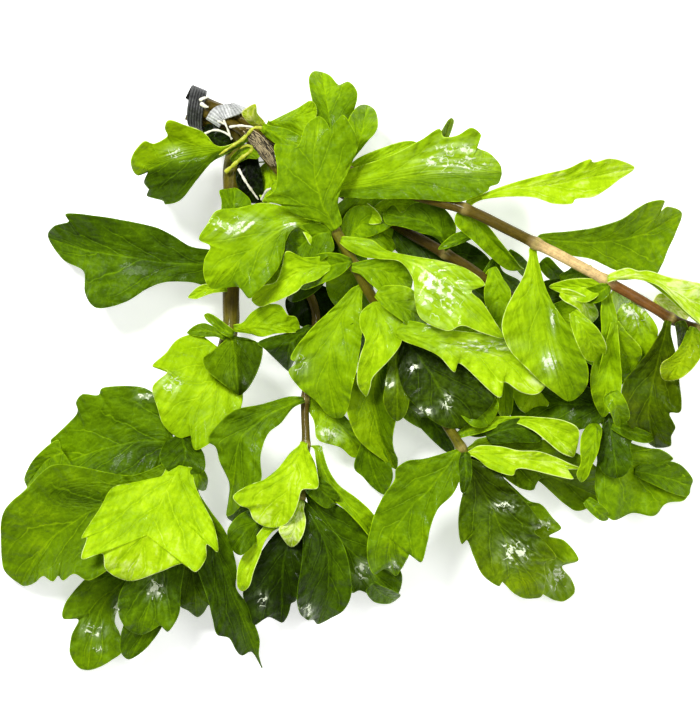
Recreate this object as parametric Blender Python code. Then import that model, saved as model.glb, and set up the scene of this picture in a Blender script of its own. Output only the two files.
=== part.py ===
"""A bunch of Mexican oak leaf, an aquarium plant with leaves like small oak leaves.

Five cut stems are bound at one end by a wound lead strip. The bunch lies on a flat
surface, z = 0. X runs to the right and Y away from the cut ends' side, as seen from
above. The tables below are in millimetres; the meshes are in metres.
"""

import math

import bpy
import numpy as np
from mathutils import Vector

MM = 0.001

# Plan coordinates are in units of 0.3 mm, counted right and down from the sheet's corner
SHEET_UNIT = 0.3
SHEET_MIDDLE = np.array([350.0, 355.5])

# Middle of the bunch's outline in the tables' coordinates, moved to the world's origin
CENTRE = np.array([0.75, -4.95, 0.0])

# The tied end: middle of the strip, the way its stems point, and the run inside it
TIE_CENTRE = np.array([-41.4, 72.8, 6.25])
TIE_HEADING = np.array([0.92, -0.39, 0.0])
TIE_HALF_RUN = 8.4
TIE_SQUEEZE = 0.82
TIE_RELEASE = 28.0

# The lead strip is a flat band wound round the stems: how far it has turned, in degrees
# from the side away from the lower leaves, and its place along the stems. Its second turn
# comes back towards the first.
STRIP_WIDTH = 5.0
STRIP_THICKNESS = 0.8
STRIP_INNER_RADIUS = 5.35
STRIP_STEP = 1.7
STRIP_ROUTE = (
    (-75, -7.6),
    (0, -7.0),
    (90, -5.6),
    (180, -2.6),
    (270, 2.4),
    (330, 5.6),
    (367, 6.8),
    (402, 5.4),
    (440, 1.8),
    (476, 1.0),
)

STEM_SIDES = 8
STEM_STEP = 4.5
JOINT_STEP = 0.5
MIDRIB_STEP = 1.0

# Stems: radius at the cut end and at the tip, place in the tie (across, up, in mm), how
# far the cut end stands out behind the tie, and the points that the stem passes, as
# (right, down, height in mm)
STEMS = {
    "stem_left": {
        "radii": (2.8, 2.3),
        "seat": (-2.3, -0.3),
        "cut": 7.4,
        "route": (
            (234, 149, 6.4),
            (231, 170, 8.0),
            (231, 230, 9.0),
            (230, 300, 11.0),
            (230, 325, 12.0),
            (224, 352, 14.0),
            (207, 392, 16.0),
            (190, 436, 18.0),
            (182, 462, 18.5),
            (183, 478, 18.5),
        ),
    },
    "stem_inner": {
        "radii": (1.4, 1.2),
        "seat": (0.3, -3.2),
        "cut": 5.2,
        "route": (
            (252, 148, 3.4),
            (258, 200, 6.0),
            (290, 260, 8.0),
            (315, 310, 10.0),
            (311, 355, 12.5),
            (305, 400, 15.0),
            (306, 445, 18.0),
            (303, 480, 18.5),
            (301, 500, 18.5),
        ),
    },
    "stem_middle": {
        "radii": (1.75, 1.5),
        "seat": (-0.65, 3.45),
        "cut": 4.4,
        "route": (
            (262, 150, 13.5),
            (300, 194, 21.0),
            (334, 230, 27.0),
            (355, 267, 28.0),
            (375, 302, 26.0),
            (400, 338, 23.0),
            (430, 398, 22.5),
            (455, 438, 23.5),
            (465, 455, 23.0),
        ),
    },
    "stem_under": {
        "radii": (1.8, 1.5),
        "seat": (2.75, -1.75),
        "cut": 5.8,
        "route": (
            (257, 131, 5.6),
            (280, 150, 8.0),
            (340, 190, 12.0),
            (404, 229, 15.0),
            (440, 250, 16.0),
            (478, 274, 16.0),
            (530, 312, 15.0),
            (575, 370, 14.0),
            (600, 420, 13.0),
        ),
    },
    "stem_right": {
        "radii": (1.9, 1.5),
        "seat": (2.2, 1.7),
        "cut": 6.6,
        "route": (
            (262, 131, 11.0),
            (300, 150, 17.0),
            (380, 185, 26.0),
            (440, 203, 31.0),
            (470, 213, 33.0),
            (535, 245, 36.0),
            (603, 281, 36.0),
            (650, 308, 34.5),
            (670, 320, 33.0),
            (700, 331, 30.0),
        ),
    },
}

# The tuft of old roots: points of its middle line (right, down, height), and its radius
TUFT = (
    (245, 131, 18.6, 0.8),
    (255, 138, 19.4, 2.0),
    (263, 147, 19.8, 2.1),
    (271, 159, 20.0, 1.6),
    (276, 167, 20.0, 0.7),
)

# Leaf tones, dark to pale
TONES = {
    "dark": (0.035, 0.075, 0.002),
    "olive": (0.090, 0.095, 0.004),
    "green": (0.110, 0.240, 0.004),
    "lime": (0.300, 0.560, 0.006),
    "bright": (0.450, 0.740, 0.012),
    "pale": (0.560, 0.760, 0.080),
}

# Leaves from the lowest to the topmost, each laid on those before it, with the stems
# where they come in the heap. After the name, stem and tone: how far the midrib bows up,
# the height of the tip, and how steeply the sides turn up, in degrees. Then the points of
# the midrib from the stem to the tip, and those of its two edges, lobes and notches.
LEAVES = (
    # the heap at the lower left, under the end of the thick stem
    ("leaf_left_1", "stem_left", "dark", 3, 1, 20,
     ((184, 486), (174, 525), (140, 562), (97, 615), (84, 674)),
     ((165, 520), (120, 558), (95, 572), (80, 584), (64, 604), (61, 620), (76, 622), (69, 638),
      (67, 656), (74, 670)),
     ((185, 530), (160, 562), (140, 582), (126, 598), (116, 612), (113, 624), (118, 636),
      (120, 654), (108, 664), (96, 671))),
    ("leaf_left_2", "stem_left", "dark", 3, 2, 20,
     ((186, 493), (170, 560), (150, 620), (127, 662)),
     ((172, 530), (150, 575), (135, 600), (124, 622), (119, 640), (119, 654)),
     ((192, 530), (188, 570), (180, 600), (165, 622), (155, 638), (142, 653))),
    ("leaf_left_3", "stem_left", "dark", 4, 3, 20,
     ((188, 496), (190, 540), (194, 585), (196, 619)),
     ((178, 520), (170, 550), (173, 575), (180, 592), (179, 606), (187, 612)),
     ((200, 520), (212, 550), (218, 580), (215, 605), (208, 606), (203, 614))),
    ("leaf_left_4", "stem_left", "dark", 7, 1, 30,
     ((193, 484), (215, 540), (228, 585), (246, 632), (261, 672)),
     ((200, 494), (212, 512), (225, 530), (233, 550), (237, 570), (236, 588), (246, 604),
      (254, 625), (259, 642), (258, 658)),
     ((188, 510), (192, 545), (200, 575), (208, 598), (213, 618), (217, 634), (229, 639),
      (235, 651), (241, 658), (251, 655))),
    ("leaf_left_5", "stem_left", "green", 7, 5, 15,
     ((176, 482), (160, 560), (140, 636)),
     ((164, 520), (142, 560), (124, 585), (118, 600), (118, 614), (122, 624), (129, 632)),
     ((190, 530), (186, 560), (181, 590), (179, 614), (168, 632), (161, 626), (150, 632))),
    ("leaf_left_6", "stem_left", "green", 7, 3, 25,
     ((173, 445), (150, 440), (100, 450), (55, 468), (24, 489)),
     ((172, 430), (165, 408), (145, 388), (106, 387), (98, 395), (83, 394), (76, 402), (76, 414),
      (56, 434), (49, 441), (50, 450), (35, 465)),
     ((166, 462), (156, 475), (142, 484), (120, 488), (100, 492), (85, 494), (70, 496), (60, 497),
      (50, 498), (42, 498), (35, 496), (28, 493))),
    ("leaf_left_7", "stem_left", "green", 6, 3, 30,
     ((172, 468), (140, 492), (90, 512), (45, 545), (17, 587)),
     ((162, 464), (149, 470), (131, 475), (108, 472), (80, 466), (58, 464), (45, 470), (24, 491),
      (10, 503), (1, 518), (-1, 545), (1, 572)),
     ((172, 487), (158, 515), (135, 548), (110, 568), (90, 579), (75, 573), (64, 580), (58, 576),
      (52, 582), (42, 577), (33, 584), (24, 588))),
    # the heap at the lower middle
    ("leaf_inner_1", "stem_inner", "dark", 3, 2, 25,
     ((298, 512), (284, 560), (281, 625)),
     ((288, 520), (268, 542), (254, 565), (243, 592), (248, 610), (253, 626), (261, 622), (269, 619)),
     ((304, 528), (304, 550), (301, 570), (299, 585), (296, 601), (291, 605), (289, 613), (286, 620))),
    ("leaf_inner_2", "stem_inner", "dark", 4, 2, 25,
     ((309, 494), (340, 540), (370, 570), (396, 601)),
     ((320, 497), (342, 508), (362, 528), (378, 548), (394, 562), (402, 575), (402, 588)),
     ((312, 525), (328, 562), (344, 586), (352, 594), (360, 592), (372, 598), (385, 604))),
    ("leaf_inner_3", "stem_inner", "green", 9, 2, 35,
     ((307, 508), (326, 545), (328, 590), (318, 627)),
     ((314, 510), (328, 526), (340, 538), (347, 555), (351, 578), (351, 596), (344, 611), (331, 620)),
     ((302, 524), (303, 545), (301, 568), (298, 585), (297, 601), (300, 614), (307, 621), (313, 622))),
    ("leaf_inner_8", "stem_inner", "lime", 4, 6, 30,
     ((294, 503), (274, 528), (256, 555), (243, 591)),
     ((283, 510), (264, 526), (250, 545), (240, 561), (237, 575), (238, 587)),
     ((288, 522), (272, 532), (265, 542), (260, 556), (254, 571), (250, 585))),
    # the heap at the lower right
    ("leaf_middle_4", "stem_middle", "olive", -2, 6, 10,
     ((407, 345), (440, 380), (486, 437)),
     ((425, 334), (450, 350), (478, 374), (500, 396), (504, 412), (498, 430)),
     ((400, 362), (400, 382), (412, 402), (430, 420), (456, 428), (472, 437))),
    ("leaf_middle_1", "stem_middle", "green", 4, 1, 20,
     ((470, 458), (505, 500), (540, 550), (567, 604)),
     ((485, 462), (508, 482), (528, 500), (542, 505), (553, 518), (562, 529), (550, 537),
      (566, 542), (580, 561), (564, 568), (574, 582), (577, 595)),
     ((468, 475), (478, 505), (490, 530), (503, 550), (512, 562), (520, 572), (527, 580),
      (533, 586), (538, 591), (543, 595), (549, 599), (557, 603))),
    ("leaf_middle_2", "stem_middle", "dark", 4, 4, 25,
     ((471, 447), (520, 462), (560, 480), (606, 500)),
     ((480, 438), (510, 434), (545, 440), (575, 452), (598, 468), (608, 482), (611, 492)),
     ((486, 464), (505, 478), (520, 488), (534, 490), (537, 480), (566, 505), (582, 512))),
    ("leaf_middle_3", "stem_middle", "dark", 6, 3, 30,
     ((464, 460), (488, 500), (510, 550), (532, 600)),
     ((463, 471), (463, 489), (459, 508), (458, 528), (461, 543), (467, 540), (473, 555),
      (482, 574), (498, 586), (502, 582), (513, 593), (523, 599)),
     ((478, 461), (497, 470), (508, 484), (521, 497), (532, 510), (541, 525), (534, 531),
      (544, 541), (556, 557), (545, 563), (546, 580), (543, 597))),
    ("leaf_under_1", "stem_under", "green", 3, 1, 20,
     ((606, 424), (622, 455), (655, 480), (694, 489)),
     ((614, 428), (630, 442), (648, 448), (662, 450), (675, 459), (669, 464), (682, 472), (692, 481)),
     ((602, 440), (596, 472), (597, 498), (612, 520), (634, 514), (656, 517), (669, 505), (688, 502))),
    ("leaf_under_2", "stem_under", "dark", 4, 6, 25,
     ((608, 414), (613, 445), (617, 478)),
     ((616, 416), (628, 424), (633, 436), (630, 446), (632, 462), (626, 474)),
     ((602, 428), (599, 437), (597, 449), (597, 461), (601, 471), (609, 477))),
    ("leaf_right_2", "stem_right", "green", 3, 14, 12,
     ((630, 303), (636, 325), (630, 360), (619, 388)),
     ((620, 305), (614, 316), (614, 335), (616, 360), (617, 378)),
     ((644, 312), (655, 330), (650, 350), (638, 368), (627, 380))),
    ("leaf_right_1", "stem_right", "olive", 3, 3, 30,
     ((664, 324), (652, 380), (648, 415), (658, 448)),
     ((658, 330), (648, 348), (634, 367), (622, 382), (620, 400), (624, 418), (634, 432), (646, 441)),
     ((668, 335), (673, 355), (677, 380), (679, 410), (668, 413), (674, 427), (671, 436), (671, 446))),
    # the dark leaves behind the middle
    ("leaf_middle_9", "stem_middle", "bright", 4, 20, 20,
     ((472, 452), (505, 457), (540, 460), (583, 469)),
     ((480, 445), (500, 446), (518, 450), (538, 451), (556, 457), (571, 464)),
     ((479, 460), (489, 468), (511, 475), (521, 468), (571, 479), (566, 470))),
    ("leaf_middle_8", "stem_middle", "bright", 5, 18, 50,
     ((460, 434), (505, 420), (540, 425), (574, 456)),
     ((480, 418), (515, 416), (540, 417), (562, 420), (577, 428), (578, 442)),
     ((484, 432), (510, 423), (530, 429), (546, 441), (558, 451), (568, 456))),
    ("leaf_under_5", "stem_under", "lime", 7, 20, 30,
     ((596, 424), (592, 445), (581, 482)),
     ((588, 425), (581, 434), (579, 448), (580, 462), (576, 474)),
     ((602, 430), (600, 440), (597, 452), (591, 466), (587, 477))),
    ("leaf_inner_5", "stem_inner", "green", 4, 6, 25,
     ((312, 399), (328, 412), (346, 433), (364, 457)),
     ((322, 398), (336, 408), (350, 422), (358, 436), (366, 448)),
     ((308, 410), (314, 422), (318, 440), (340, 448), (352, 458))),
    ("leaf_middle_5", "stem_middle", "olive", 3, 8, 40,
     ((388, 332), (374, 385), (380, 435), (396, 470)),
     ((372, 345), (354, 378), (346, 402), (352, 428), (362, 444), (382, 460)),
     ((394, 352), (396, 385), (397, 412), (393, 436), (394, 450), (398, 460))),
    ("leaf_inner_6", "stem_inner", "lime", 6, 8, 40,
     ((317, 447), (327, 478), (350, 506), (382, 543)),
     ((323, 452), (329, 470), (339, 485), (354, 496), (365, 505), (374, 515), (384, 532)),
     ((316, 462), (320, 484), (331, 498), (344, 509), (358, 523), (368, 535), (375, 543))),
    ("stem_left",),
    ("stem_inner",),
    ("leaf_left_8", "stem_left", "bright", 5, 20, 20,
     ((226, 350), (215, 378), (195, 402), (171, 433)),
     ((214, 345), (198, 334), (178, 339), (166, 353), (153, 366), (168, 371), (153, 387),
      (158, 408), (162, 422)),
     ((238, 360), (240, 380), (243, 398), (238, 415), (224, 433), (200, 449), (193, 446),
      (191, 436), (181, 438))),
    ("leaf_left_9", "stem_left", "olive", 4, 14, 50,
     ((231, 337), (236, 362), (239, 395)),
     ((224, 341), (210, 354), (203, 359), (206, 369), (216, 378), (229, 388)),
     ((250, 339), (262, 346), (262, 358), (258, 371), (252, 383), (246, 391))),
    ("leaf_left_10", "stem_left", "green", 8, 4, 30,
     ((226, 262), (180, 264), (120, 255), (80, 248), (45, 236)),
     ((212, 250), (190, 246), (172, 235), (155, 227), (128, 221), (98, 216), (66, 213), (67, 221),
      (52, 225)),
     ((214, 286), (190, 282), (165, 282), (146, 289), (125, 302), (97, 308), (84, 293), (82, 271),
      (61, 259))),
    ("leaf_left_11", "stem_left", "bright", 8, 20, 15,
     ((181, 465), (165, 495), (150, 530), (131, 580)),
     ((168, 466), (160, 477), (135, 483), (114, 487), (101, 508), (84, 535), (89, 537), (84, 557),
      (104, 552), (108, 569)),
     ((194, 468), (195, 482), (204, 503), (215, 525), (219, 550), (208, 543), (207, 557),
      (197, 570), (184, 562), (160, 571))),
    ("leaf_inner_7", "stem_inner", "green", 4, 12, 40,
     ((300, 400), (268, 415), (240, 440), (235, 475), (226, 516)),
     ((286, 397), (262, 404), (235, 410), (217, 425), (208, 440), (216, 447), (220, 462),
      (229, 483), (228, 500)),
     ((292, 409), (281, 423), (268, 434), (261, 455), (262, 477), (256, 490), (246, 500),
      (239, 508), (232, 515))),
    ("leaf_inner_4", "stem_inner", "bright", 4, 24, 20,
     ((304, 443), (298, 460), (288, 490), (276, 527)),
     ((299, 445), (290, 453), (278, 468), (264, 479), (248, 485), (234, 495), (240, 504),
      (249, 508), (254, 519), (265, 526)),
     ((308, 449), (313, 458), (317, 470), (318, 487), (303, 489), (299, 500), (296, 509),
      (292, 517), (287, 523), (281, 526))),
    ("leaf_left_12", "stem_left", "lime", 6, 18, 30,
     ((236, 328), (262, 326), (300, 328)),
     ((243, 322), (252, 312), (265, 305), (280, 305), (288, 315), (296, 317)),
     ((250, 334), (262, 337), (274, 334), (283, 333), (290, 333), (297, 332))),
    ("stem_under",),
    ("leaf_under_4", "stem_under", "lime", 4, 16, 35,
     ((540, 322), (572, 320), (588, 345), (597, 368)),
     ((556, 303), (570, 301), (583, 315), (592, 327), (601, 342), (603, 356)),
     ((552, 330), (562, 328), (571, 334), (577, 346), (580, 358), (590, 364))),
    ("leaf_middle_6", "stem_middle", "green", 4, 12, 40,
     ((360, 288), (338, 325), (328, 370), (336, 418)),
     ((350, 290), (333, 308), (314, 326), (298, 345), (291, 358), (296, 363), (289, 372),
      (300, 388), (316, 401), (327, 414)),
     ((362, 300), (362, 314), (362, 328), (361, 342), (359, 355), (357, 368), (354, 380),
      (351, 393), (349, 405), (344, 416))),
    ("leaf_middle_7", "stem_middle", "green", 7, 8, 30,
     ((457, 452), (430, 488), (402, 516), (389, 545), (396, 577)),
     ((446, 452), (425, 458), (408, 460), (396, 468), (394, 480), (383, 496), (374, 515),
      (370, 530), (367, 545), (368, 562), (374, 575), (385, 570)),
     ((460, 466), (459, 480), (452, 494), (438, 508), (431, 524), (427, 542), (422, 561),
      (416, 559), (411, 553), (407, 560), (404, 566), (401, 571))),
    ("leaf_under_6", "stem_under", "green", 5, 20, 40,
     ((448, 247), (430, 224), (384, 214)),
     ((456, 228), (447, 212), (432, 203), (412, 204), (402, 213), (393, 205)),
     ((436, 238), (420, 233), (405, 228), (395, 226), (388, 225), (384, 221))),
    ("stem_middle",),
    ("leaf_middle_10", "stem_middle", "lime", 3, 26, 40,
     ((352, 268), (380, 270), (412, 284)),
     ((356, 263), (370, 260), (388, 259), (404, 260), (412, 268)),
     ((360, 275), (370, 284), (380, 293), (392, 302), (406, 299))),
    ("leaf_middle_11", "stem_middle", "bright", 4, 22, 30,
     ((375, 303), (379, 330), (372, 360), (366, 396)),
     ((366, 307), (360, 315), (360, 328), (365, 340), (360, 356), (357, 372), (358, 386)),
     ((388, 303), (402, 314), (402, 330), (400, 345), (388, 361), (373, 377), (370, 388))),
    ("leaf_middle_12", "stem_middle", "bright", 6, 26, 20,
     ((396, 332), (450, 345), (500, 357), (546, 384)),
     ((408, 321), (432, 326), (458, 331), (482, 334), (503, 339), (522, 346), (536, 354),
      (546, 364), (550, 375)),
     ((405, 342), (424, 349), (439, 357), (453, 372), (460, 364), (497, 397), (503, 382),
      (520, 392), (536, 394))),
    ("leaf_middle_16", "stem_middle", "bright", 7, 28, 25,
     ((342, 241), (380, 253), (415, 265), (452, 292), (502, 338)),
     ((354, 238), (372, 241), (386, 251), (412, 257), (440, 262), (465, 270), (483, 285),
      (470, 292), (480, 302), (492, 320)),
     ((350, 252), (364, 258), (380, 260), (400, 263), (412, 280), (414, 300), (420, 319),
      (445, 331), (461, 326), (480, 333))),
    ("leaf_right_3", "stem_right", "lime", 3, 20, 40,
     ((531, 250), (537, 290), (548, 345), (568, 401)),
     ((527, 258), (521, 278), (512, 294), (503, 312), (500, 330), (508, 350), (525, 368),
      (540, 382), (553, 392)),
     ((536, 258), (540, 275), (546, 294), (556, 312), (568, 330), (577, 348), (585, 366),
      (586, 382), (580, 394))),
    ("leaf_right_12", "stem_right", "lime", 4, 12, 30,
     ((604, 293), (607, 330), (606, 370), (603, 417)),
     ((599, 300), (598, 314), (599, 332), (597, 350), (590, 368), (589, 385), (593, 402)),
     ((610, 302), (614, 315), (616, 335), (618, 358), (620, 380), (618, 398), (611, 409))),
    ("leaf_right_4", "stem_right", "lime", 5, 10, 30,
     ((331, 158), (330, 125), (321, 70)),
     ((323, 148), (316, 125), (314, 108), (311, 95), (309, 84), (309, 76), (313, 70)),
     ((342, 146), (350, 122), (357, 100), (356, 89), (348, 81), (339, 84), (330, 74))),
    ("leaf_right_5", "stem_right", "lime", 1, 8, 10,
     ((268, 123), (285, 122), (317, 110)),
     ((270, 120), (282, 115), (298, 108), (311, 101)),
     ((276, 129), (288, 136), (303, 136), (313, 125))),
    ("leaf_right_7", "stem_right", "pale", 6, 18, 20,
     ((468, 204), (500, 192), (560, 184), (635, 168)),
     ((482, 195), (505, 186), (540, 176), (565, 170), (580, 163), (589, 160), (593, 163),
      (608, 159), (622, 161)),
     ((482, 201), (510, 198), (533, 199), (552, 205), (570, 205), (575, 200), (592, 198),
      (606, 190), (618, 181))),
    ("leaf_right_8", "stem_right", "green", 6, 10, 20,
     ((537, 240), (590, 243), (640, 235), (684, 212)),
     ((547, 234), (570, 232), (595, 228), (620, 220), (636, 209), (650, 202), (664, 201),
      (661, 211), (669, 206)),
     ((548, 248), (568, 256), (590, 260), (612, 270), (632, 275), (652, 277), (661, 266),
      (668, 250), (677, 232))),
    ("stem_right",),
    ("leaf_right_6", "stem_middle", "green", 5, 24, 30,
     ((303, 193), (345, 190), (390, 182), (440, 173), (501, 174)),
     ((325, 180), (350, 170), (370, 164), (395, 155), (420, 142), (438, 131), (443, 139),
      (457, 137), (470, 130), (480, 137), (475, 148), (488, 154), (499, 165)),
     ((322, 198), (345, 198), (370, 200), (400, 200), (425, 201), (445, 203), (460, 203),
      (473, 199), (480, 196), (487, 192), (489, 188), (497, 185), (500, 179))),
    ("leaf_right_9", "stem_middle", "lime", 7, 10, 55,
     ((250, 134), (230, 146), (208, 152), (170, 160), (136, 174)),
     ((236, 141), (222, 146), (213, 143), (203, 132), (187, 126), (170, 121), (165, 128),
      (167, 136), (154, 143), (144, 141), (133, 152), (130, 164)),
     ((238, 147), (224, 155), (213, 161), (203, 172), (192, 187), (181, 201), (167, 205),
      (163, 201), (147, 196), (149, 190), (143, 181), (151, 170))),
    ("leaf_right_10", "stem_right", "pale", 6, 33, 25,
     ((606, 279), (640, 277), (675, 295), (706, 310)),
     ((612, 272), (624, 269), (634, 272), (645, 272), (665, 278), (685, 282), (700, 287)),
     ((618, 280), (636, 281), (652, 286), (665, 296), (680, 311), (692, 321), (702, 327))),
    ("leaf_right_11", "stem_right", "pale", 5, 18, 40,
     ((690, 328), (684, 350), (663, 380)),
     ((682, 334), (677, 345), (668, 356), (658, 363), (657, 373)),
     ((700, 338), (700, 350), (694, 361), (686, 371), (675, 379))),
    ("leaf_middle_13", "stem_middle", "lime", 4, 20, 30,
     ((342, 264), (300, 272), (252, 301)),
     ((330, 256), (305, 258), (287, 252), (282, 268), (276, 282), (263, 286), (254, 294)),
     ((330, 271), (318, 280), (304, 285), (297, 292), (283, 299), (270, 304), (260, 307))),
    ("leaf_middle_14", "stem_middle", "bright", 5, 26, 20,
     ((318, 227), (290, 226), (262, 243), (238, 263), (213, 289)),
     ((305, 214), (283, 207), (262, 204), (240, 209), (218, 212), (208, 226), (200, 240),
      (211, 247), (205, 261), (205, 278)),
     ((310, 234), (297, 228), (287, 240), (284, 254), (279, 268), (270, 280), (258, 292),
      (250, 299), (242, 290), (236, 287))),
    ("leaf_middle_15", "stem_middle", "bright", 6, 36, 20,
     ((335, 230), (321, 200), (314, 165), (320, 119)),
     ((322, 224), (298, 217), (280, 206), (264, 202), (276, 191), (278, 170), (276, 147),
      (297, 150), (305, 130), (312, 122)),
     ((342, 222), (338, 205), (343, 185), (352, 165), (358, 146), (352, 130), (343, 118),
      (336, 126), (331, 132), (327, 125))),
)

LEAF_FIELDS = ("name", "stem", "tone", "rise", "tip_height", "cup", "midrib", "one_edge", "other_edge")

LEAF_HALF_THICKNESS = 0.55
PETIOLE_HALF_WIDTH = 1.2
VEIN_SWEEP = 0.6
ROW_SPACING = 0.025

# Laying: how far apart stacked surfaces stay, the grid of heights and the bending length
LAY_GAP = 0.7
CELL = 1.0
FIELD_LOW = np.array([-120.0, -110.0])
FIELD_SHAPE = (250, 210)
BEND_SHARE = 0.5
STEM_CLEARANCE = 0.35


def unit(vector):
    """The vector at length one."""
    return vector / np.linalg.norm(vector)


def smooth_route(points, step):
    """Points about one step apart on a Catmull-Rom curve through the given points."""
    points = np.array(points, dtype=float)
    ends = np.vstack((2 * points[0] - points[1], points, 2 * points[-1] - points[-2]))
    curve = [points[0]]
    for before, start, stop, after in zip(ends[:-3], ends[1:-2], ends[2:-1], ends[3:]):
        pieces = max(1, round(np.linalg.norm(stop - start) / step))
        for share in np.arange(1, pieces + 1) / pieces:
            curve.append(
                0.5
                * (
                    2 * start
                    + (stop - before) * share
                    + (2 * before - 5 * start + 4 * stop - after) * share**2
                    + (3 * start - before - 3 * stop + after) * share**3
                )
            )
    return np.array(curve)


def stem_line(stem):
    """The middle line of a stem, from its cut end through the tie to its tip."""
    heading = unit(TIE_HEADING)
    across = np.array([-heading[1], heading[0], 0.0])
    seat = TIE_CENTRE + across * stem["seat"][0] + np.array([0, 0, stem["seat"][1]])
    inside = (seat - heading * stem["cut"], seat, seat + heading * TIE_HALF_RUN)
    route = [(*table_point(point[:2]), point[2]) for point in stem["route"]]
    return smooth_route((*inside, *route), STEM_STEP)


def stem_radii(stem, line):
    """The stem's radius at each point of its line: squeezed in the tie, thinner towards the tip."""
    run = np.concatenate(([0], np.cumsum(np.linalg.norm(np.diff(line, axis=0), axis=1))))
    first, last = stem["radii"]
    tied = stem["cut"] + TIE_HALF_RUN
    release = np.clip((run - tied) / (TIE_RELEASE - tied), 0, 1)
    return (first + (last - first) * run / run[-1]) * (TIE_SQUEEZE + (1 - TIE_SQUEEZE) * release)


def line_frames(line):
    """Tangent, sideways and upward unit vectors at each point of a line."""
    tangents = np.gradient(line, axis=0)
    tangents /= np.linalg.norm(tangents, axis=1)[:, None]
    sides = np.cross((0.0, 0.0, 1.0), tangents)
    sides /= np.linalg.norm(sides, axis=1)[:, None]
    return tangents, sides, np.cross(tangents, sides)


def tube(line, radii, sides):
    """Vertices and faces of a closed tube around a line."""
    _, across, up = line_frames(line)
    angles = np.arange(sides) * 2 * math.pi / sides
    rings = (
        line[:, None]
        + radii[:, None, None] * np.cos(angles)[None, :, None] * across[:, None]
        + radii[:, None, None] * np.sin(angles)[None, :, None] * up[:, None]
    )
    return rings.reshape(-1, 3), ring_faces(len(line), sides)


def ring_faces(rings, sides):
    """Faces that join rings of points into a tube and close both its ends."""
    faces = [tuple(reversed(range(sides)))]
    for ring in range(rings - 1):
        for side in range(sides):
            a = ring * sides + side
            b = ring * sides + (side + 1) % sides
            faces.append((a, b, b + sides, a + sides))
    faces.append(tuple(range((rings - 1) * sides, rings * sides)))
    return faces


def table_point(point):
    """A point of the plan sheet in millimetres on the table."""
    return (np.array(point, dtype=float) - SHEET_MIDDLE) * SHEET_UNIT * (1, -1)


def leaf_base(leaf, lines, radii, over):
    """Where the leaf grows from its stem: at the start of its midrib, on the stem's skin."""
    start = table_point(leaf["midrib"][0])
    line = smooth_route(lines[leaf["stem"]], JOINT_STEP)
    apart = np.linalg.norm(line[:, :2] - start, axis=1)
    nearest = int(np.argmin(apart))
    stem_radii_here = radii[leaf["stem"]]
    radius = np.interp(nearest / len(line), np.linspace(0, 1, len(stem_radii_here)), stem_radii_here)
    reach = radius + STEM_CLEARANCE + LEAF_HALF_THICKNESS
    height = math.sqrt(max(0.0, reach**2 - apart[nearest] ** 2))
    return np.array([*start, line[nearest, 2] + (height if over else -height)])


def leaf_midrib(leaf, base):
    """Points of the midrib as read from above, with their shares of its length."""
    plan = np.vstack([table_point(point) for point in leaf["midrib"]])
    line = smooth_route(np.column_stack((plan, np.zeros(len(plan)))), MIDRIB_STEP)
    run = np.concatenate(([0], np.cumsum(np.linalg.norm(np.diff(line, axis=0), axis=1))))
    share = run / run[-1]
    line[:, 2] = base[2] + (leaf["tip_height"] - base[2]) * share + 3 * leaf["rise"] * share * (1 - share)
    return line, share


def row_shares(edges, line, share):
    """Where each row leaves the midrib: a little below its edge points, ever nearer the tip."""
    length = np.linalg.norm(np.diff(line[:, :2], axis=0), axis=1).sum()
    apart = np.linalg.norm(edges[:, :, None] - line[None, None, :, :2], axis=-1)
    level = share[apart.argmin(axis=-1)]
    level = (level - VEIN_SWEEP * apart.min(axis=-1) / length).mean(axis=0)
    rows = np.maximum.accumulate(np.clip(level, 0, 1))
    count = len(rows)
    rows = np.maximum(rows, ROW_SPACING * np.arange(1, count + 1))
    return np.minimum(rows, 1 - ROW_SPACING * np.arange(count, 0, -1))


def leaf_surface(leaf, base):
    """The leaf's middle surface in rows of three points: one edge, the midrib and the other."""
    line, share = leaf_midrib(leaf, base)
    edges = np.array([[table_point(point) for point in leaf[side]] for side in ("one_edge", "other_edge")])
    rows = row_shares(edges, line, share)
    way = unit(line[1, :2] - line[0, :2])
    petiole = np.array([way[1], -way[0]]) * PETIOLE_HALF_WIDTH
    if np.dot(petiole, edges[0, 0] - line[0, :2]) < 0:
        petiole = -petiole
    tip = line[-1, :2]
    rows = np.concatenate(([0], rows, [1]))
    one = np.vstack((base[:2] + petiole, edges[0], tip))
    other = np.vstack((base[:2] - petiole, edges[1], tip))
    middle = np.stack([np.interp(rows, share, line[:, axis]) for axis in range(3)], axis=1)
    steep = math.tan(math.radians(leaf["cup"]))
    surface = []
    for edge in (one, middle[:, :2], other):
        apart = np.linalg.norm(edge - middle[:, :2], axis=1)
        widest = max(apart.max(), PETIOLE_HALF_WIDTH)
        surface.append(np.column_stack((edge, middle[:, 2] + steep * apart**2 / (2 * widest))))
    return np.stack(surface, axis=1), rows


def refine(values, steps_down, steps_across):
    """A coarse grid filled in with straight steps, for reading heights."""
    down = np.arange((values.shape[0] - 1) * steps_down + 1) / steps_down
    low = np.minimum(down.astype(int), values.shape[0] - 2)
    share = (down - low).reshape(-1, *[1] * (values.ndim - 1))
    values = values[low] * (1 - share) + values[low + 1] * share
    over = np.arange((values.shape[1] - 1) * steps_across + 1) / steps_across
    low = np.minimum(over.astype(int), values.shape[1] - 2)
    share = (over - low).reshape(1, -1, *[1] * (values.ndim - 2))
    return values[:, low] * (1 - share) + values[:, low + 1] * share


def field_cells(points):
    """Indices of the height field's cells under the points."""
    cells = ((points[..., :2] - FIELD_LOW) / CELL).astype(int)
    return cells[..., 0], cells[..., 1]


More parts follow.
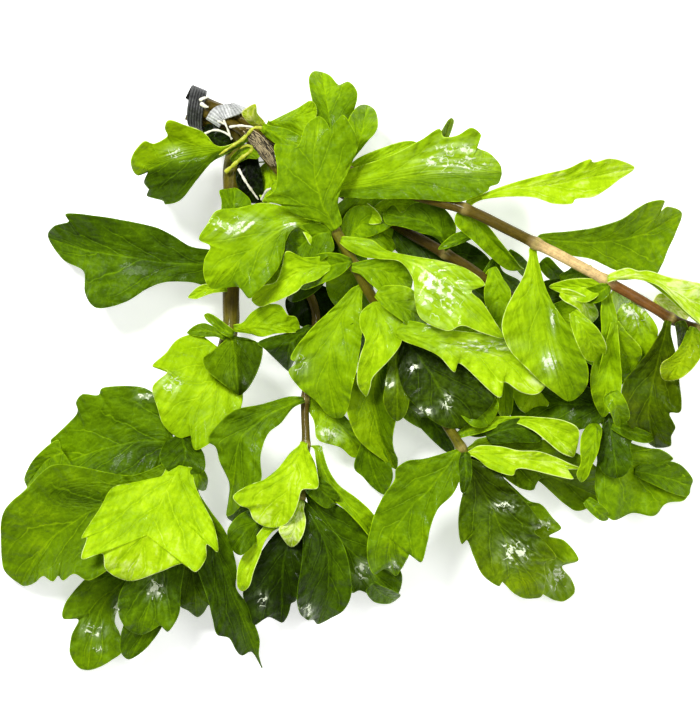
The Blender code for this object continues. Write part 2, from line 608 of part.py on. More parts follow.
def lay_leaf(surface, rows, field):
    """Lift a leaf's rows just enough to clear what lies under it, bending it smoothly."""
    steps = 8
    fine = refine(surface, steps, 12)
    thick = LEAF_HALF_THICKNESS * (1 - np.abs(np.linspace(-1, 1, fine.shape[1])))
    need = (field[field_cells(fine)] + LAY_GAP - (fine[..., 2] - thick)).max(axis=1)
    coarse = np.array(
        [
            need[max(0, row * steps - steps) : row * steps + steps + 1].max()
            for row in range(len(rows))
        ]
    )
    coarse = np.clip(coarse, 0, None)
    apart = np.abs(rows[:, None] - rows[None, :]) / BEND_SHARE
    bell = np.where(apart < 1, 0.5 + 0.5 * np.cos(math.pi * np.clip(apart, 0, 1)), 0)
    lift = (bell * coarse[None, :]).max(axis=1)
    surface = surface.copy()
    surface[..., 2] += lift[:, None]
    return surface


def mark_surface(field, points, thick):
    """Raise the height field to the top of what lies at the points."""
    np.maximum.at(field, field_cells(points), points[..., 2] + thick)


def mark_leaf(field, surface):
    """Raise the height field over a laid leaf."""
    fine = refine(surface, 8, 24)
    thick = LEAF_HALF_THICKNESS * (1 - np.abs(np.linspace(-1, 1, fine.shape[1])))
    mark_surface(field, fine, thick[None, :])


def mark_stem(field, line, radii):
    """Raise the height field over a stem."""
    _, side, _ = line_frames(line)
    across = np.linspace(-1, 1, 9)
    points = line[:, None] + radii[:, None, None] * across[None, :, None] * side[:, None]
    fine = refine(points, 8, 2)
    top = refine(radii[:, None] * np.sqrt(1 - across**2)[None, :], 8, 2)
    mark_surface(field, fine, top)


def leaf_solid(surface):
    """Vertices and faces of a closed leaf: sharp at its edges, thickest along its midrib."""
    left, middle, right = surface[:, 0], surface[:, 1], surface[:, 2]
    rows = len(surface)
    way = np.gradient(middle, axis=0)
    normal = np.cross(way, left - right)
    normal[-1] = normal[-2]
    normal /= np.linalg.norm(normal, axis=1)[:, None]
    offset = normal * LEAF_HALF_THICKNESS
    rings = np.stack((right, middle + offset, left, middle - offset), axis=1)
    tip = len(surface) - 1
    points = np.vstack((rings[:tip].reshape(-1, 3), middle[tip]))
    faces = ring_faces(rows - 1, 4)[:-1]
    last = (rows - 2) * 4
    for corner in range(4):
        faces.append((last + corner, last + (corner + 1) % 4, tip * 4))
    return points, faces


def lead_strip_solid():
    """Vertices and faces of the wound strip: a flat band laid out and then rolled up."""
    heading = unit(TIE_HEADING)
    across = np.array([-heading[1], heading[0], 0.0])
    up = np.array([0.0, 0.0, 1.0])
    outer = STRIP_INNER_RADIUS + STRIP_THICKNESS
    roll = (STRIP_INNER_RADIUS + outer) / 2
    line = smooth_route([(math.radians(turn) * roll, place) for turn, place in STRIP_ROUTE], STRIP_STEP)
    way = np.gradient(line, axis=0)
    way /= np.linalg.norm(way, axis=1)[:, None]
    beside = np.stack((-way[:, 1], way[:, 0]), axis=1) * STRIP_WIDTH / 2
    rings = []
    for radius, side in ((STRIP_INNER_RADIUS, -1), (STRIP_INNER_RADIUS, 1), (outer, 1), (outer, -1)):
        edge = line + side * beside
        angle = edge[:, 0] / roll
        out = np.cos(angle)[:, None] * across + np.sin(angle)[:, None] * up
        rings.append(TIE_CENTRE + heading * edge[:, 1][:, None] + out * radius)
    rings = np.stack(rings, axis=1)
    return rings.reshape(-1, 3), ring_faces(len(line), 4)


def add_material(name, colour, roughness, metallic=0.0):
    """A plain material with the piece's colour and finish."""
    material = bpy.data.materials.new(name)
    material.use_nodes = True
    shader = material.node_tree.nodes["Principled BSDF"]
    shader.inputs["Base Color"].default_value = (*colour, 1.0)
    shader.inputs["Roughness"].default_value = roughness
    shader.inputs["Metallic"].default_value = metallic
    material.diffuse_color = (*colour, 1.0)
    return material


def add_object(name, points, faces, material):
    """One named object from points in millimetres, with its faces turned outward."""
    mesh = bpy.data.meshes.new(name)
    mesh.from_pydata(((points - CENTRE) * MM).tolist(), [], faces)
    mesh.materials.append(material)
    mesh.update()
    piece = bpy.data.objects.new(name, mesh)
    bpy.context.scene.collection.objects.link(piece)
    if signed_volume(mesh) < 0:
        mesh.flip_normals()
    return piece


def signed_volume(mesh):
    """Volume inside a closed mesh, negative when its faces point inward."""
    mesh.calc_loop_triangles()
    total = 0.0
    for triangle in mesh.loop_triangles:
        a, b, c = (Vector(mesh.vertices[index].co) for index in triangle.vertices)
        total += a.dot(b.cross(c)) / 6
    return total


def clear_scene():
    """Remove what the file holds."""
    for piece in list(bpy.data.objects):
        bpy.data.objects.remove(piece, do_unlink=True)


def build_tie_and_stems(lines, radii):
    """The lead strip, the five stems and the tuft of old roots."""
    lead = add_material("lead", (0.20, 0.21, 0.21), 0.55, 0.6)
    bark = add_material("stem_skin", (0.105, 0.075, 0.018), 0.4)
    root = add_material("old_root", (0.085, 0.055, 0.022), 0.8)
    add_object("lead_strip", *lead_strip_solid(), lead)
    for name, line in lines.items():
        add_object(name, *tube(line, radii[name], STEM_SIDES), bark)
    tuft = np.array([(*table_point(point[:2]), *point[2:]) for point in TUFT])
    add_object("root_tuft", *tube(tuft[:, :3], tuft[:, 3], STEM_SIDES), root)


def build_leaves(lines, radii):
    """Lay every leaf in the order of the heap and make its solid."""
    tones = {name: add_material("leaf_" + name, colour, 0.3) for name, colour in TONES.items()}
    field = np.zeros(FIELD_SHAPE)
    placed = set()
    for entry in LEAVES:
        if len(entry) == 1:
            mark_stem(field, lines[entry[0]], radii[entry[0]])
            placed.add(entry[0])
            continue
        leaf = dict(zip(LEAF_FIELDS, entry))
        surface, rows = leaf_surface(leaf, leaf_base(leaf, lines, radii, leaf["stem"] in placed))
        surface = lay_leaf(surface, rows, field)
        mark_leaf(field, surface)
        add_object(leaf["name"], *leaf_solid(surface), tones[leaf["tone"]])


def build():
    """The whole bunch."""
    clear_scene()
    lines = {name: stem_line(stem) for name, stem in STEMS.items()}
    radii = {name: stem_radii(STEMS[name], line) for name, line in lines.items()}
    build_tie_and_stems(lines, radii)
    build_leaves(lines, radii)


build()
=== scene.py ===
import math

import bpy
import numpy as np
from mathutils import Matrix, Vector


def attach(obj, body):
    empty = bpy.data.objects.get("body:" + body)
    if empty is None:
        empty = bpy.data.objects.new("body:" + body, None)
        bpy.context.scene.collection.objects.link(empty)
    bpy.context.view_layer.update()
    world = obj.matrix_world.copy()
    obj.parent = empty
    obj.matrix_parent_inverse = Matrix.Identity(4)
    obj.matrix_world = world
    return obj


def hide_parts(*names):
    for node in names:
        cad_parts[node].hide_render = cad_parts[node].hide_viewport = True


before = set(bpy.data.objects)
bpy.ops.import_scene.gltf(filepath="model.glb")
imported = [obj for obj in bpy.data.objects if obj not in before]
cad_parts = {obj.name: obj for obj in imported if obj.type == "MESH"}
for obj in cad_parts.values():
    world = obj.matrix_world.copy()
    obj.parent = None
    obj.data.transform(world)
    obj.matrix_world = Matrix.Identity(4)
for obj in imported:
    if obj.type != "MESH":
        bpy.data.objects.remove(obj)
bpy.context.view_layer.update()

# A tied bunch of aquarium plant stems with lobed leaves, lying flat and seen from above.
# Every leaf is laid on those under it, in the order of the heap, as in the CAD part.

random = np.random.default_rng(7)

# plan places are counted right and down from the corner of a sheet, in steps of so many mm;
# "centre" is where the frame's origin lies, in mm from the middle of the sheet
sheet = {"step": 0.3, "middle": (350.0, 355.5), "centre": (0.75, -4.95, 0.0)}


# Lines and curves

def toTable(points):
    # plan places in millimetres on the table: offset from the middle times the step
    return (np.array(points, float) - sheet["middle"]) * sheet["step"] * (1, -1)


def toSpace(points):
    # the same for plan places with more numbers after them, such as a height in mm
    points = np.array(points, float)
    return np.hstack((toTable(points[:, :2]), points[:, 2:]))


def curveAt(points, places, after=None):
    # Catmull-Rom curve through the points, read at places counted in points (0, 0.5, 1 ...)
    points = np.asarray(points, float)
    last = 2 * points[-1] - points[-2] if after is None else after
    ends = np.concatenate(([2 * points[0] - points[1]], points, [last]))
    low = np.minimum(np.asarray(places).astype(int), len(points) - 2)
    t = (places - low).reshape(-1, *[1] * (points.ndim - 1))
    a, b, c, d = ends[low], ends[low + 1], ends[low + 2], ends[low + 3]
    square = (2 * a - 5 * b + 4 * c - d) * t**2
    return 0.5 * (2 * b + (c - a) * t + square + (3 * b - a - 3 * c + d) * t**3)


def smoothRoute(points, step):
    # the same curve at places about one step apart, every given point included
    points = np.array(points, float)
    spans = np.linalg.norm(np.diff(points, axis=0), axis=1)
    pieces = np.maximum(1, np.round(spans / step)).astype(int)
    places = [low + np.arange(count) / count for low, count in enumerate(pieces)]
    return curveAt(points, np.concatenate((*places, [len(points) - 1.0])))


def runOf(line):
    # length along the line from its first point to each point
    spans = np.linalg.norm(np.diff(line, axis=0), axis=1)
    return np.concatenate(([0], np.cumsum(spans)))


def unit(vectors):
    # vectors over their lengths
    return vectors / np.linalg.norm(vectors, axis=-1, keepdims=True)


def frames(line):
    # tangent, sideways and upward unit vectors at each point of a line
    tangents = unit(np.gradient(line, axis=0))
    sides = unit(np.cross((0.0, 0.0, 1.0), tangents))
    return tangents, sides, np.cross(tangents, sides)


def circle(sides):
    # equal angles once round
    return np.arange(sides) * 2 * math.pi / sides


# Meshes

def meshPiece(name, points, faces, colours=None):
    # one object from points in millimetres, with colours kept at its points
    mesh = bpy.data.meshes.new(name)
    mesh.from_pydata(((points.reshape(-1, 3) - sheet["centre"]) * 0.001).tolist(), [], faces)
    mesh.polygons.foreach_set("use_smooth", np.ones(len(mesh.polygons), bool))
    for label, values in (colours or {}).items():
        layer = mesh.color_attributes.new(label, "FLOAT_COLOR", "POINT")
        layer.data.foreach_set("color", values.astype(np.float32).ravel())
    mesh.update()
    piece = bpy.data.objects.new(name, mesh)
    bpy.context.scene.collection.objects.link(piece)
    return piece


def pointColours(*parts):
    # four numbers for each point of a grid, each given as a grid, a row, a column or one number
    return np.stack(np.broadcast_arrays(*parts), axis=-1).reshape(-1, 4)


def gridFaces(rows, columns, wrap=False):
    # quads of a grid of points, closed round its columns where it wraps
    numbers = np.arange(rows * columns).reshape(rows, columns)
    if wrap:
        numbers = np.hstack((numbers, numbers[:, :1]))
    corners = (numbers[:-1, :-1], numbers[:-1, 1:], numbers[1:, 1:], numbers[1:, :-1])
    return np.stack(corners, axis=-1).reshape(-1, 4)


def tubeFaces(rings, sides):
    # a wrapped grid with a cap at both ends
    faces = gridFaces(rings, sides, True).tolist()
    return faces + [list(range(sides))[::-1], list(range((rings - 1) * sides, rings * sides))]


def tubePoints(line, radii, sides):
    # a circle of points round each point of the line, the cosine sideways and the sine upwards
    _, across, up = frames(line)
    angles = circle(sides)[None, :, None]
    ring = np.cos(angles) * across[:, None] + np.sin(angles) * up[:, None]
    return line[:, None] + radii[:, None, None] * ring


def outward(piece):
    # faces turned out where the volume inside them comes out negative
    mesh = piece.data
    mesh.calc_loop_triangles()
    corners = np.zeros(len(mesh.vertices) * 3)
    mesh.vertices.foreach_get("co", corners)
    order = np.zeros(len(mesh.loop_triangles) * 3, int)
    mesh.loop_triangles.foreach_get("vertices", order)
    a, b, c = np.moveaxis(corners.reshape(-1, 3)[order.reshape(-1, 3)], 1, 0)
    if np.einsum("ij,ij->", a, np.cross(b, c)) < 0:
        mesh.flip_normals()
    return piece


def finishPiece(piece, material, node=None):
    # material, place in the frame, and the CAD node that it stands for
    piece.data.materials.append(material)
    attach(outward(piece), "root")
    if node:
        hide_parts(node)


# Shader maths

class Wire:
    # a socket whose arithmetic adds Math nodes
    def __init__(self, tree, socket=None):
        self.tree = tree
        self.socket = socket

    def node(self, kind, settings=None, inputs=None, output=0):
        # settings first, then the values or links of the inputs
        made = self.tree.nodes.new(kind)
        for name, value in (settings or {}).items():
            if name == "stops":
                ramp = made.color_ramp
                while len(ramp.elements) < len(value):
                    ramp.elements.new(0.5)
                for element, (place, colour) in zip(ramp.elements, value):
                    element.position = place
                    element.color = (*colour, 1.0)
            else:
                setattr(made, name, value)
        for name, value in (inputs or {}).items():
            if isinstance(value, Wire):
                self.tree.links.new(value.socket, made.inputs[name])
            else:
                made.inputs[name].default_value = value
        return Wire(self.tree, made.outputs[output])

    def maths(self, operation, *values):
        # a Math node on this value and the others
        inputs = dict(enumerate((self, *values)))
        return self.node("ShaderNodeMath", {"operation": operation}, inputs)

    def __add__(self, other):
        return self.maths("ADD", other)

    def __sub__(self, other):
        return self.maths("SUBTRACT", other)

    def __mul__(self, other):
        return self.maths("MULTIPLY", other)

    def __rsub__(self, other):
        return (self * -1).maths("ADD", other)

    __radd__ = __add__
    __rmul__ = __mul__

    def held(self, low=0.0, high=1.0):
        # kept between two values
        return self.maths("MAXIMUM", low).maths("MINIMUM", high)

    def between(self, low, high):
        # 0 below low, 1 above high, smooth between
        inputs = {"Value": self, "From Min": low, "From Max": high}
        return self.node("ShaderNodeMapRange", {"interpolation_type": "SMOOTHSTEP"}, inputs)

    def fold(self):
        # 0 halfway between two whole numbers and 1 at each of them
        return (self.maths("FRACT") - 0.5).maths("ABSOLUTE") * 2.0

    def mix(self, mask, other):
        # colour mixed towards another by the mask
        settings = {"data_type": "RGBA", "clamp_factor": True}
        return self.node("ShaderNodeMix", settings, {0: mask, 6: self, 7: other}, 2)

    def shine(self, other, amount):
        # colour multiplied by a colour or grey, so much of it
        settings = {"data_type": "RGBA", "blend_type": "MULTIPLY", "clamp_factor": True}
        return self.node("ShaderNodeMix", settings, {0: amount, 6: self, 7: other}, 2)

    def part(self, number):
        # red, green or blue of a colour
        return self.node("ShaderNodeSeparateColor", None, {"Color": self}, number)

    def scale(self, stops):
        # colour read off a scale of stops
        return self.node("ShaderNodeValToRGB", {"stops": stops}, {"Fac": self})

    def lean(self, strength, distance):
        # normal leaned by this height
        inputs = {"Strength": strength, "Distance": distance, "Height": self}
        return self.node("ShaderNodeBump", None, inputs)

    def carried(self, name, output=0):
        # what the piece's points carry under that name
        return self.node("ShaderNodeAttribute", {"attribute_name": name}, output=output)

    def place(self):
        # place on the piece, in metres
        return self.node("ShaderNodeTexCoord", output=3)

    def noise(self, size, detail):
        # noise at this place whose lumps are about that many millimetres
        inputs = {"Vector": self, "Scale": 1000.0 / size, "Detail": detail}
        return self.node("ShaderNodeTexNoise", None, inputs)


def newMaterial(name, **fixed):
    # Principled material with these values on its own sockets
    material = bpy.data.materials.new(name)
    material.use_nodes = True
    shader = material.node_tree.nodes["Principled BSDF"]
    for label, value in fixed.items():
        shader.inputs[label.replace("_", " ")].default_value = value
    return material, Wire(material.node_tree), shader


def feed(shader, wires):
    # wires into the shader's sockets
    for label, wire in wires.items():
        wire.tree.links.new(wire.socket, shader.inputs[label])


# Stems

# how the strip holds the stems: its middle, their way through it, half the length that they run
# straight, how thin it squeezes them, and how far along a stem that has worn off
tie = {"centre": (-41.4, 72.8, 6.25), "heading": (0.92, -0.39, 0.0), "halfRun": 8.4,
       "squeeze": 0.82, "release": 28.0}

# radii at the cut end and at the tip; place in the tie, sideways and up; length that stands out
# behind its middle; route in plan places and heights; plan places of the nodes with their
# swelling, and of the skin colours
stems = {
    "stem_left": {
        "radii": (2.8, 2.3), "seat": (-2.3, -0.3), "cut": 7.4,
        "route": ((234, 149, 6.4), (231, 170, 8.0), (231, 230, 9.0), (230, 300, 11.0),
                  (230, 325, 12.0), (224, 352, 14.0), (207, 392, 16.0), (190, 436, 18.0),
                  (182, 462, 18.5), (183, 478, 18.5)),
        "nodes": ((234, 338, 0.9), (229, 262, 0.5), (205, 398, 0.5), (186, 455, 0.6)),
        "skin": ((240, 118, "olive"), (235, 150, "green"), (232, 200, "olive"), (230, 300, "olive"),
                 (231, 336, "green"), (200, 410, "olive"), (183, 478, "green"))},
    "stem_inner": {
        "radii": (1.4, 1.2), "seat": (0.3, -3.2), "cut": 5.2,
        "route": ((252, 148, 3.4), (258, 200, 6.0), (290, 260, 8.0), (315, 310, 10.0),
                  (311, 355, 12.5), (305, 400, 15.0), (306, 445, 18.0), (303, 480, 18.5),
                  (301, 500, 18.5)),
        "nodes": ((304, 400, 0.4), (306, 445, 0.5), (301, 498, 0.4)),
        "skin": ((250, 140, "dark"), (290, 260, "olive"), (305, 420, "olive"),
                 (301, 500, "green"))},
    "stem_middle": {
        "radii": (1.75, 1.5), "seat": (-0.65, 3.45), "cut": 4.4,
        "route": ((262, 150, 13.5), (300, 194, 21.0), (334, 230, 27.0), (355, 267, 28.0),
                  (375, 302, 26.0), (400, 338, 23.0), (430, 398, 22.5), (455, 438, 23.5),
                  (465, 455, 23.0)),
        "nodes": ((334, 230, 0.5), (355, 267, 0.5), (460, 448, 0.6)),
        "skin": ((262, 150, "olive"), (340, 240, "green"), (400, 338, "olive"),
                 (465, 455, "green"))},
    "stem_under": {
        "radii": (1.8, 1.5), "seat": (2.75, -1.75), "cut": 5.8,
        "route": ((257, 131, 5.6), (280, 150, 8.0), (340, 190, 12.0), (404, 229, 15.0),
                  (440, 250, 16.0), (478, 274, 16.0), (530, 312, 15.0), (575, 370, 14.0),
                  (600, 420, 13.0)),
        "nodes": ((446, 252, 0.5), (600, 418, 0.5)),
        "skin": ((257, 131, "olive"), (404, 229, "dark"), (500, 290, "olive"),
                 (600, 420, "olive"))},
    "stem_right": {
        "radii": (1.9, 1.5), "seat": (2.2, 1.7), "cut": 6.6,
        "route": ((262, 131, 11.0), (300, 150, 17.0), (380, 185, 26.0), (440, 203, 31.0),
                  (470, 213, 33.0), (535, 245, 36.0), (603, 281, 36.0), (650, 308, 34.5),
                  (670, 320, 33.0), (700, 331, 30.0)),
        "nodes": ((350, 172, 0.5), (465, 209, 0.6), (534, 245, 0.7), (603, 281, 0.7),
                  (668, 318, 0.8), (694, 329, 0.6)),
        "skin": ((262, 131, "olive"), (380, 185, "olive"), (470, 213, "olive"), (525, 240, "olive"),
                 (545, 252, "tan"), (598, 278, "tan"), (615, 288, "red"), (650, 308, "red"),
                 (672, 320, "dark"), (700, 331, "dark"))},
}

# mesh steps, height and half length of a node's swelling, its paler ring, how many shallow lumps
# go round, how high they are and how they turn along the stem; then the finish: the streaks, and
# noise by the size of its lumps in mm and its detail
stemForm = {"step": 0.8, "sides": 24, "swell": 0.55, "swellRun": 1.3, "ringRun": 0.8,
            "ringShare": 0.75, "ringColour": (0.42, 0.34, 0.10),
            "waves": ((3, 0.04, 0.21), (7, 0.02, -0.5)), "streaks": (26.0, 3.5, 1.0),
            "streakRun": 20.0, "lumps": (2.2, 4.0), "specks": (0.7, 3.0), "bump": 0.0003}

stemPaint = {"olive": (0.085, 0.060, 0.004), "tan": (0.66, 0.47, 0.20),
             "red": (0.17, 0.073, 0.014), "dark": (0.040, 0.024, 0.003),
             "green": (0.13, 0.125, 0.006)}


def tieAxes():
    # unit vectors through the tie and sideways over the table
    heading = unit(np.array(tie["heading"]))
    return heading, np.array([-heading[1], heading[0], 0.0])


def stemLine(stem, step):
    # middle line from the cut end straight through the tie, then along the route
    heading, across = tieAxes()
    seat = tie["centre"] + across * stem["seat"][0] + np.array([0, 0, stem["seat"][1]])
    tied = (seat - heading * stem["cut"], seat, seat + heading * tie["halfRun"])
    return smoothRoute((*tied, *toSpace(stem["route"])), step)


def stemRadii(stem, line):
    # radius falls evenly from the cut end to the tip, and is squeezed inside the tie
    run = runOf(line)
    first, last = stem["radii"]
    tied = stem["cut"] + tie["halfRun"]
    release = np.clip((run - tied) / (tie["release"] - tied), 0, 1)
    squeeze = tie["squeeze"] + (1 - tie["squeeze"]) * release
    return (first + (last - first) * run / run[-1]) * squeeze


def stemMaterial():
    # skin colour from the piece's own paint, darkened by long streaks, lumps and specks
    material, start, shader = newMaterial("wet_stem", Coat_Weight=0.12, Coat_Roughness=0.08,
                                          IOR=1.42, Specular_IOR_Level=0.1)
    place, skin, flow = start.place(), start.carried("paint"), start.carried("flow")
    drawn = flow.node("ShaderNodeVectorMath", {"operation": "MULTIPLY"},
                      {0: flow, 1: stemForm["streaks"]})
    streaks = drawn.noise(1000.0, 4.0)
    lumps, specks = (place.noise(*stemForm[label]) for label in ("lumps", "specks"))
    level = streaks * 1.5 + lumps * 0.8 + specks * 1.0 - 0.65
    parts = {label: level for label in ("Red", "Green", "Blue")}
    colour = skin.shine(start.node("ShaderNodeCombineColor", None, parts), 0.85)
    height = streaks + lumps * 0.5 + specks * 0.4
    feed(shader, {"Base Color": colour, "Roughness": (lumps * 0.3 + 0.22).held(),
                  "Normal": height.lean(0.6, stemForm["bump"])})
    return material


def buildStem(name, material):
    # tube round the smooth line, wider by a bell at every node, with its skin colour on its points
    stem, form = stems[name], stemForm
    line = stemLine(stem, form["step"])
    run = runOf(line)[:, None]
    radii = stemRadii(stem, line)
    ring = np.zeros(len(line))
    for *place, swell in stem["nodes"]:
        apart = np.linalg.norm(line[:, :2] - toTable(place), axis=1)
        radii = radii + swell * form["swell"] * np.exp(-(apart / form["swellRun"]) ** 2)
        ring = np.maximum(ring, np.exp(-(apart / form["ringRun"]) ** 2))
    points = tubePoints(line, radii, form["sides"])
    # shallow lumps: sines round the stem, each row a little further round
    angles = circle(form["sides"])[None, :]
    lumps = 1
    for count, height, twist in form["waves"]:
        lumps = lumps + height * np.sin(count * angles + run * twist)
    points = line[:, None] + (points - line[:, None]) * lumps[..., None]
    # skin colours run evenly from one given place to the next
    stops = sorted((int(np.argmin(np.linalg.norm(line[:, :2] - toTable(place), axis=1))), tone)
                   for *place, tone in stem["skin"])
    rows = [row for row, _ in stops]
    skin = np.array([stemPaint[tone] for _, tone in stops])
    colours = np.stack([np.interp(np.arange(len(line)), rows, part) for part in skin.T], axis=1)
    colours = colours + (np.array(form["ringColour"]) - colours) * ring[:, None] * form["ringShare"]
    paint = pointColours(*colours.T[..., None], np.ones((1, form["sides"])))
    flow = pointColours(np.abs(angles / math.pi - 1), run / form["streakRun"], 0.0, 1.0)
    faces = tubeFaces(len(line), form["sides"])
    piece = meshPiece(name + "_skin", points, faces, {"paint": paint, "flow": flow})
    finishPiece(piece, material, name)


# The lead strip

# "dents": turns per mm, depth and start of each sine; "slump": how far the outer face lies in;
# "route": how far the strip has turned, in degrees, and its place along the stems in mm; "worn"
# and "bright": from where to where in its length it grows smooth and bright; "creases" are
# counted along it, and noise is given by the size of its lumps in mm and its detail
strip = {"width": 5.0, "thickness": 0.8, "innerRadius": 5.35, "step": 0.16, "ribs": 6,
         "ribHeight": 0.16, "places": 61, "gap": 0.02, "corner": 0.1, "slump": 0.11,
         "dents": ((2.1, 0.06, 0), (0.9, 0.05, 2)), "worn": (0.6, 0.72), "wornDepth": 0.8,
         "route": ((-75, -7.6), (0, -7.0), (90, -5.6), (180, -2.6), (270, 2.4), (330, 5.6),
                   (367, 6.8), (402, 5.4), (440, 1.8), (476, 1.0)),
         "scale": ((0.0, (0.006, 0.006, 0.006)), (0.3, (0.05, 0.052, 0.05)),
                   (0.6, (0.20, 0.205, 0.20)), (0.85, (0.52, 0.53, 0.52)),
                   (1.0, (0.78, 0.79, 0.78))),
         "bright": (0.62, 0.74), "creases": 420.0, "grime": (2.4, 5.0), "specks": (0.6, 4.0),
         "bump": 0.0003}


def leadMaterial():
    # dark grey with a painted highlight along the ribs; the strip's later part is rubbed bright and
    # creased across, with painted light and shade on the creases
    material, start, shader = newMaterial("old_lead", Metallic=0.25, Specular_IOR_Level=0.3)
    place, flow = start.place(), start.carried("flow")
    ribHighlight, length = flow.part(0), flow.part(1)
    grime, specks = (place.noise(*strip[label]) for label in ("grime", "specks"))
    creases = (length * strip["creases"] + grime * 3.0).maths("SINE") * 0.5 + 0.5
    later = length.between(*strip["bright"])
    # painted highlight along the ribs, and painted light and shade across the creases
    level = (ribHighlight * (1.0 - later) * 0.34 + creases * later * 0.16 + grime * 0.45
             + specks * 0.35 + later * 0.74 - 0.42)
    height = creases * later * 0.5 + specks * 0.5 + grime * 0.6
    feed(shader, {"Base Color": level.held().scale(strip["scale"]),
                  "Roughness": (specks * 0.4 + 0.35).held(),
                  "Normal": height.lean(0.8, strip["bump"])})
    return material


def buildStrip(material):
    # band laid out flat, with ribs along its outer face, then rolled up round the stems
    heading, across = tieAxes()
    roll = strip["innerRadius"] + strip["thickness"] / 2
    line = smoothRoute([(math.radians(turn) * roll, place) for turn, place in strip["route"]],
                       strip["step"])
    run = runOf(line)[:, None]
    length = run / run[-1]
    way = unit(np.gradient(line, axis=0))
    beside = np.stack((-way[:, 1], way[:, 0]), axis=1)
    # section: outer face from edge to edge with rounded corners, then back along the inner face
    places = np.linspace(-1, 1, strip["places"])
    back = places[::-1][2:-2:4]
    inner = np.zeros(len(back))
    low = strip["innerRadius"] + strip["gap"]
    high = strip["innerRadius"] + strip["thickness"] - strip["ribHeight"]
    ribs = np.abs(np.sin(places * math.pi * strip["ribs"] / 2))
    past = np.clip((np.abs(places) - 1 + strip["corner"]) / strip["corner"], 0, 1)
    corner = np.sqrt(np.clip(1 - past**2, 0, 1))
    ribs = ribs * corner
    outer = low + (high - low) * (0.35 + 0.65 * corner) + strip["ribHeight"] * ribs
    side = np.concatenate((places, back)) * (strip["width"] / 2 - strip["gap"])
    height = np.concatenate((outer, low + inner))
    ribs = np.concatenate((ribs, inner))
    # the outer face is dented by sines along its length, and its ribs wear down in the last part
    dents = sum(depth * np.sin(run * turn + start) for turn, depth, start in strip["dents"])
    first, last = strip["worn"]
    worn = np.clip((length - first) / (last - first), 0, 1) * strip["wornDepth"]
    outside = np.concatenate((np.ones(len(places)), inner))
    reach = height - (dents + strip["slump"]) * outside - worn * strip["ribHeight"] * ribs
    edge = line[:, None] + side[None, :, None] * beside[:, None]
    angle = edge[..., :1] / roll
    out = np.cos(angle) * across + np.sin(angle) * (0, 0, 1.0)
    points = tie["centre"] + heading * edge[..., 1:] + out * reach[..., None]
    faces = tubeFaces(len(line), len(side))
    # the ribs go along for the painted highlight on them, with the share of the length
    flow = pointColours(ribs, length, 0.0, 1.0)
    piece = meshPiece("lead_strip_band", points, faces, {"flow": flow})
    finishPiece(piece, material, "lead_strip")


# Roots

# the old roots beside the strip: plan places of their middle line, with its height and thickness.
# Pairs are the ends of random draws for a fibre: its thickness, where along the line it begins and
# ends, how far it twists round, how far out it lies, and how often it sways
oldRoots = {"line": ((245, 131, 18.6, 0.8), (255, 138, 19.4, 2.0), (263, 147, 19.8, 2.1),
                     (271, 159, 20.0, 1.6), (276, 167, 20.0, 0.7)),
            "fibres": 110, "sides": 5, "steps": 14, "radius": 0.17, "thick": (0.6, 1.5),
            "begin": (0, 0.45), "end": (0.6, 1.0), "twist": (-3, 3), "out": (0.25, 1.0),
            "sways": (8, 22), "sway": 0.35, "spread": 1.15, "flat": (0.8, 0.75), "taper": 0.7}

# loose roots and strands: radius, and the plan places and heights that each passes
looseRoots = {
    "white_root_1": (0.35, ((203, 133, 12.6), (214, 129, 13.2), (225, 132, 13.2),
                            (232, 138, 13.0))),
    "white_root_2": (0.32, ((223, 119, 13.6), (227, 128, 13.6), (231, 139, 13.2))),
    "white_root_3": (0.30, ((217, 120, 13.2), (220, 121, 13.4), (225, 124, 13.4))),
    "white_root_4": (0.38, ((229, 126, 13.4), (240, 125, 15.5), (254, 127, 18.2))),
    "white_root_5": (0.40, ((238, 168, 13.0), (246, 182, 15.0), (258, 199, 14.0))),
    "white_root_6": (0.40, ((261, 199, 14.0), (267, 190, 17.0), (277, 187, 19.0))),
    "white_root_7": (0.55, ((200, 102, 12.9), (204, 105, 13.2), (208, 106, 13.2))),
    "white_root_8": (0.45, ((199, 99, 12.4), (203, 97, 12.9), (208, 96, 12.2))),
    "yellow_strand_1": (0.5, ((262, 128, 19.5), (254, 128, 20.0), (248, 134, 19.5),
                              (243, 139, 18.8), (232, 146, 18.2), (218, 155, 17.2))),
    "yellow_strand_2": (0.6, ((225, 171, 12.5), (230, 167, 13.5), (237, 161, 14.5),
                              (243, 156, 15.5), (250, 151, 16.0), (252, 147, 16.5),
                              (246, 145, 16.5), (240, 148, 16.0)))}

# mesh steps of a loose root, its swellings by turns per mm and height, and how much thinner its
# end is
looseForm = {"step": 0.3, "sides": 12, "swell": ((1.9, 0.18), (4.3, 0.1)), "taper": 0.5}

# noise by the size of its lumps in mm and its detail; then each finish: darker and paler
# colour, roughness, coat, and how much a fibre's own tone counts
rootPaint = {
    "lumps": (2.0, 4.0), "specks": (0.5, 3.0), "bump": 0.0002,
    "old_root_fibre": ((0.022, 0.015, 0.005), (0.42, 0.34, 0.18), 0.7, 0.0, 0.9),
    "white_root_skin": ((0.70, 0.66, 0.48), (0.92, 0.90, 0.80), 0.25, 0.5, 0.0),
    "yellow_strand_skin": ((0.30, 0.36, 0.008), (0.62, 0.64, 0.03), 0.3, 0.2, 0.0)}


def rootMaterial(name):
    # two colours by noise along the root, and by the fibre's own tone
    dark, light, rough, coat, own = rootPaint[name]
    material, start, shader = newMaterial(name, Coat_Weight=coat, Coat_Roughness=0.2)
    place = start.place()
    lumps, specks = (place.noise(*rootPaint[label]) for label in ("lumps", "specks"))
    level = lumps * 0.6 + specks * 0.4
    if own:
        level = level + (start.carried("flow", 2) - 0.5) * own
    feed(shader, {"Base Color": level.scale(((0.3, dark), (0.7, light))),
                  "Roughness": (specks * 0.3 + rough).held(),
                  "Normal": (specks + lumps).lean(0.5, rootPaint["bump"])})
    return material


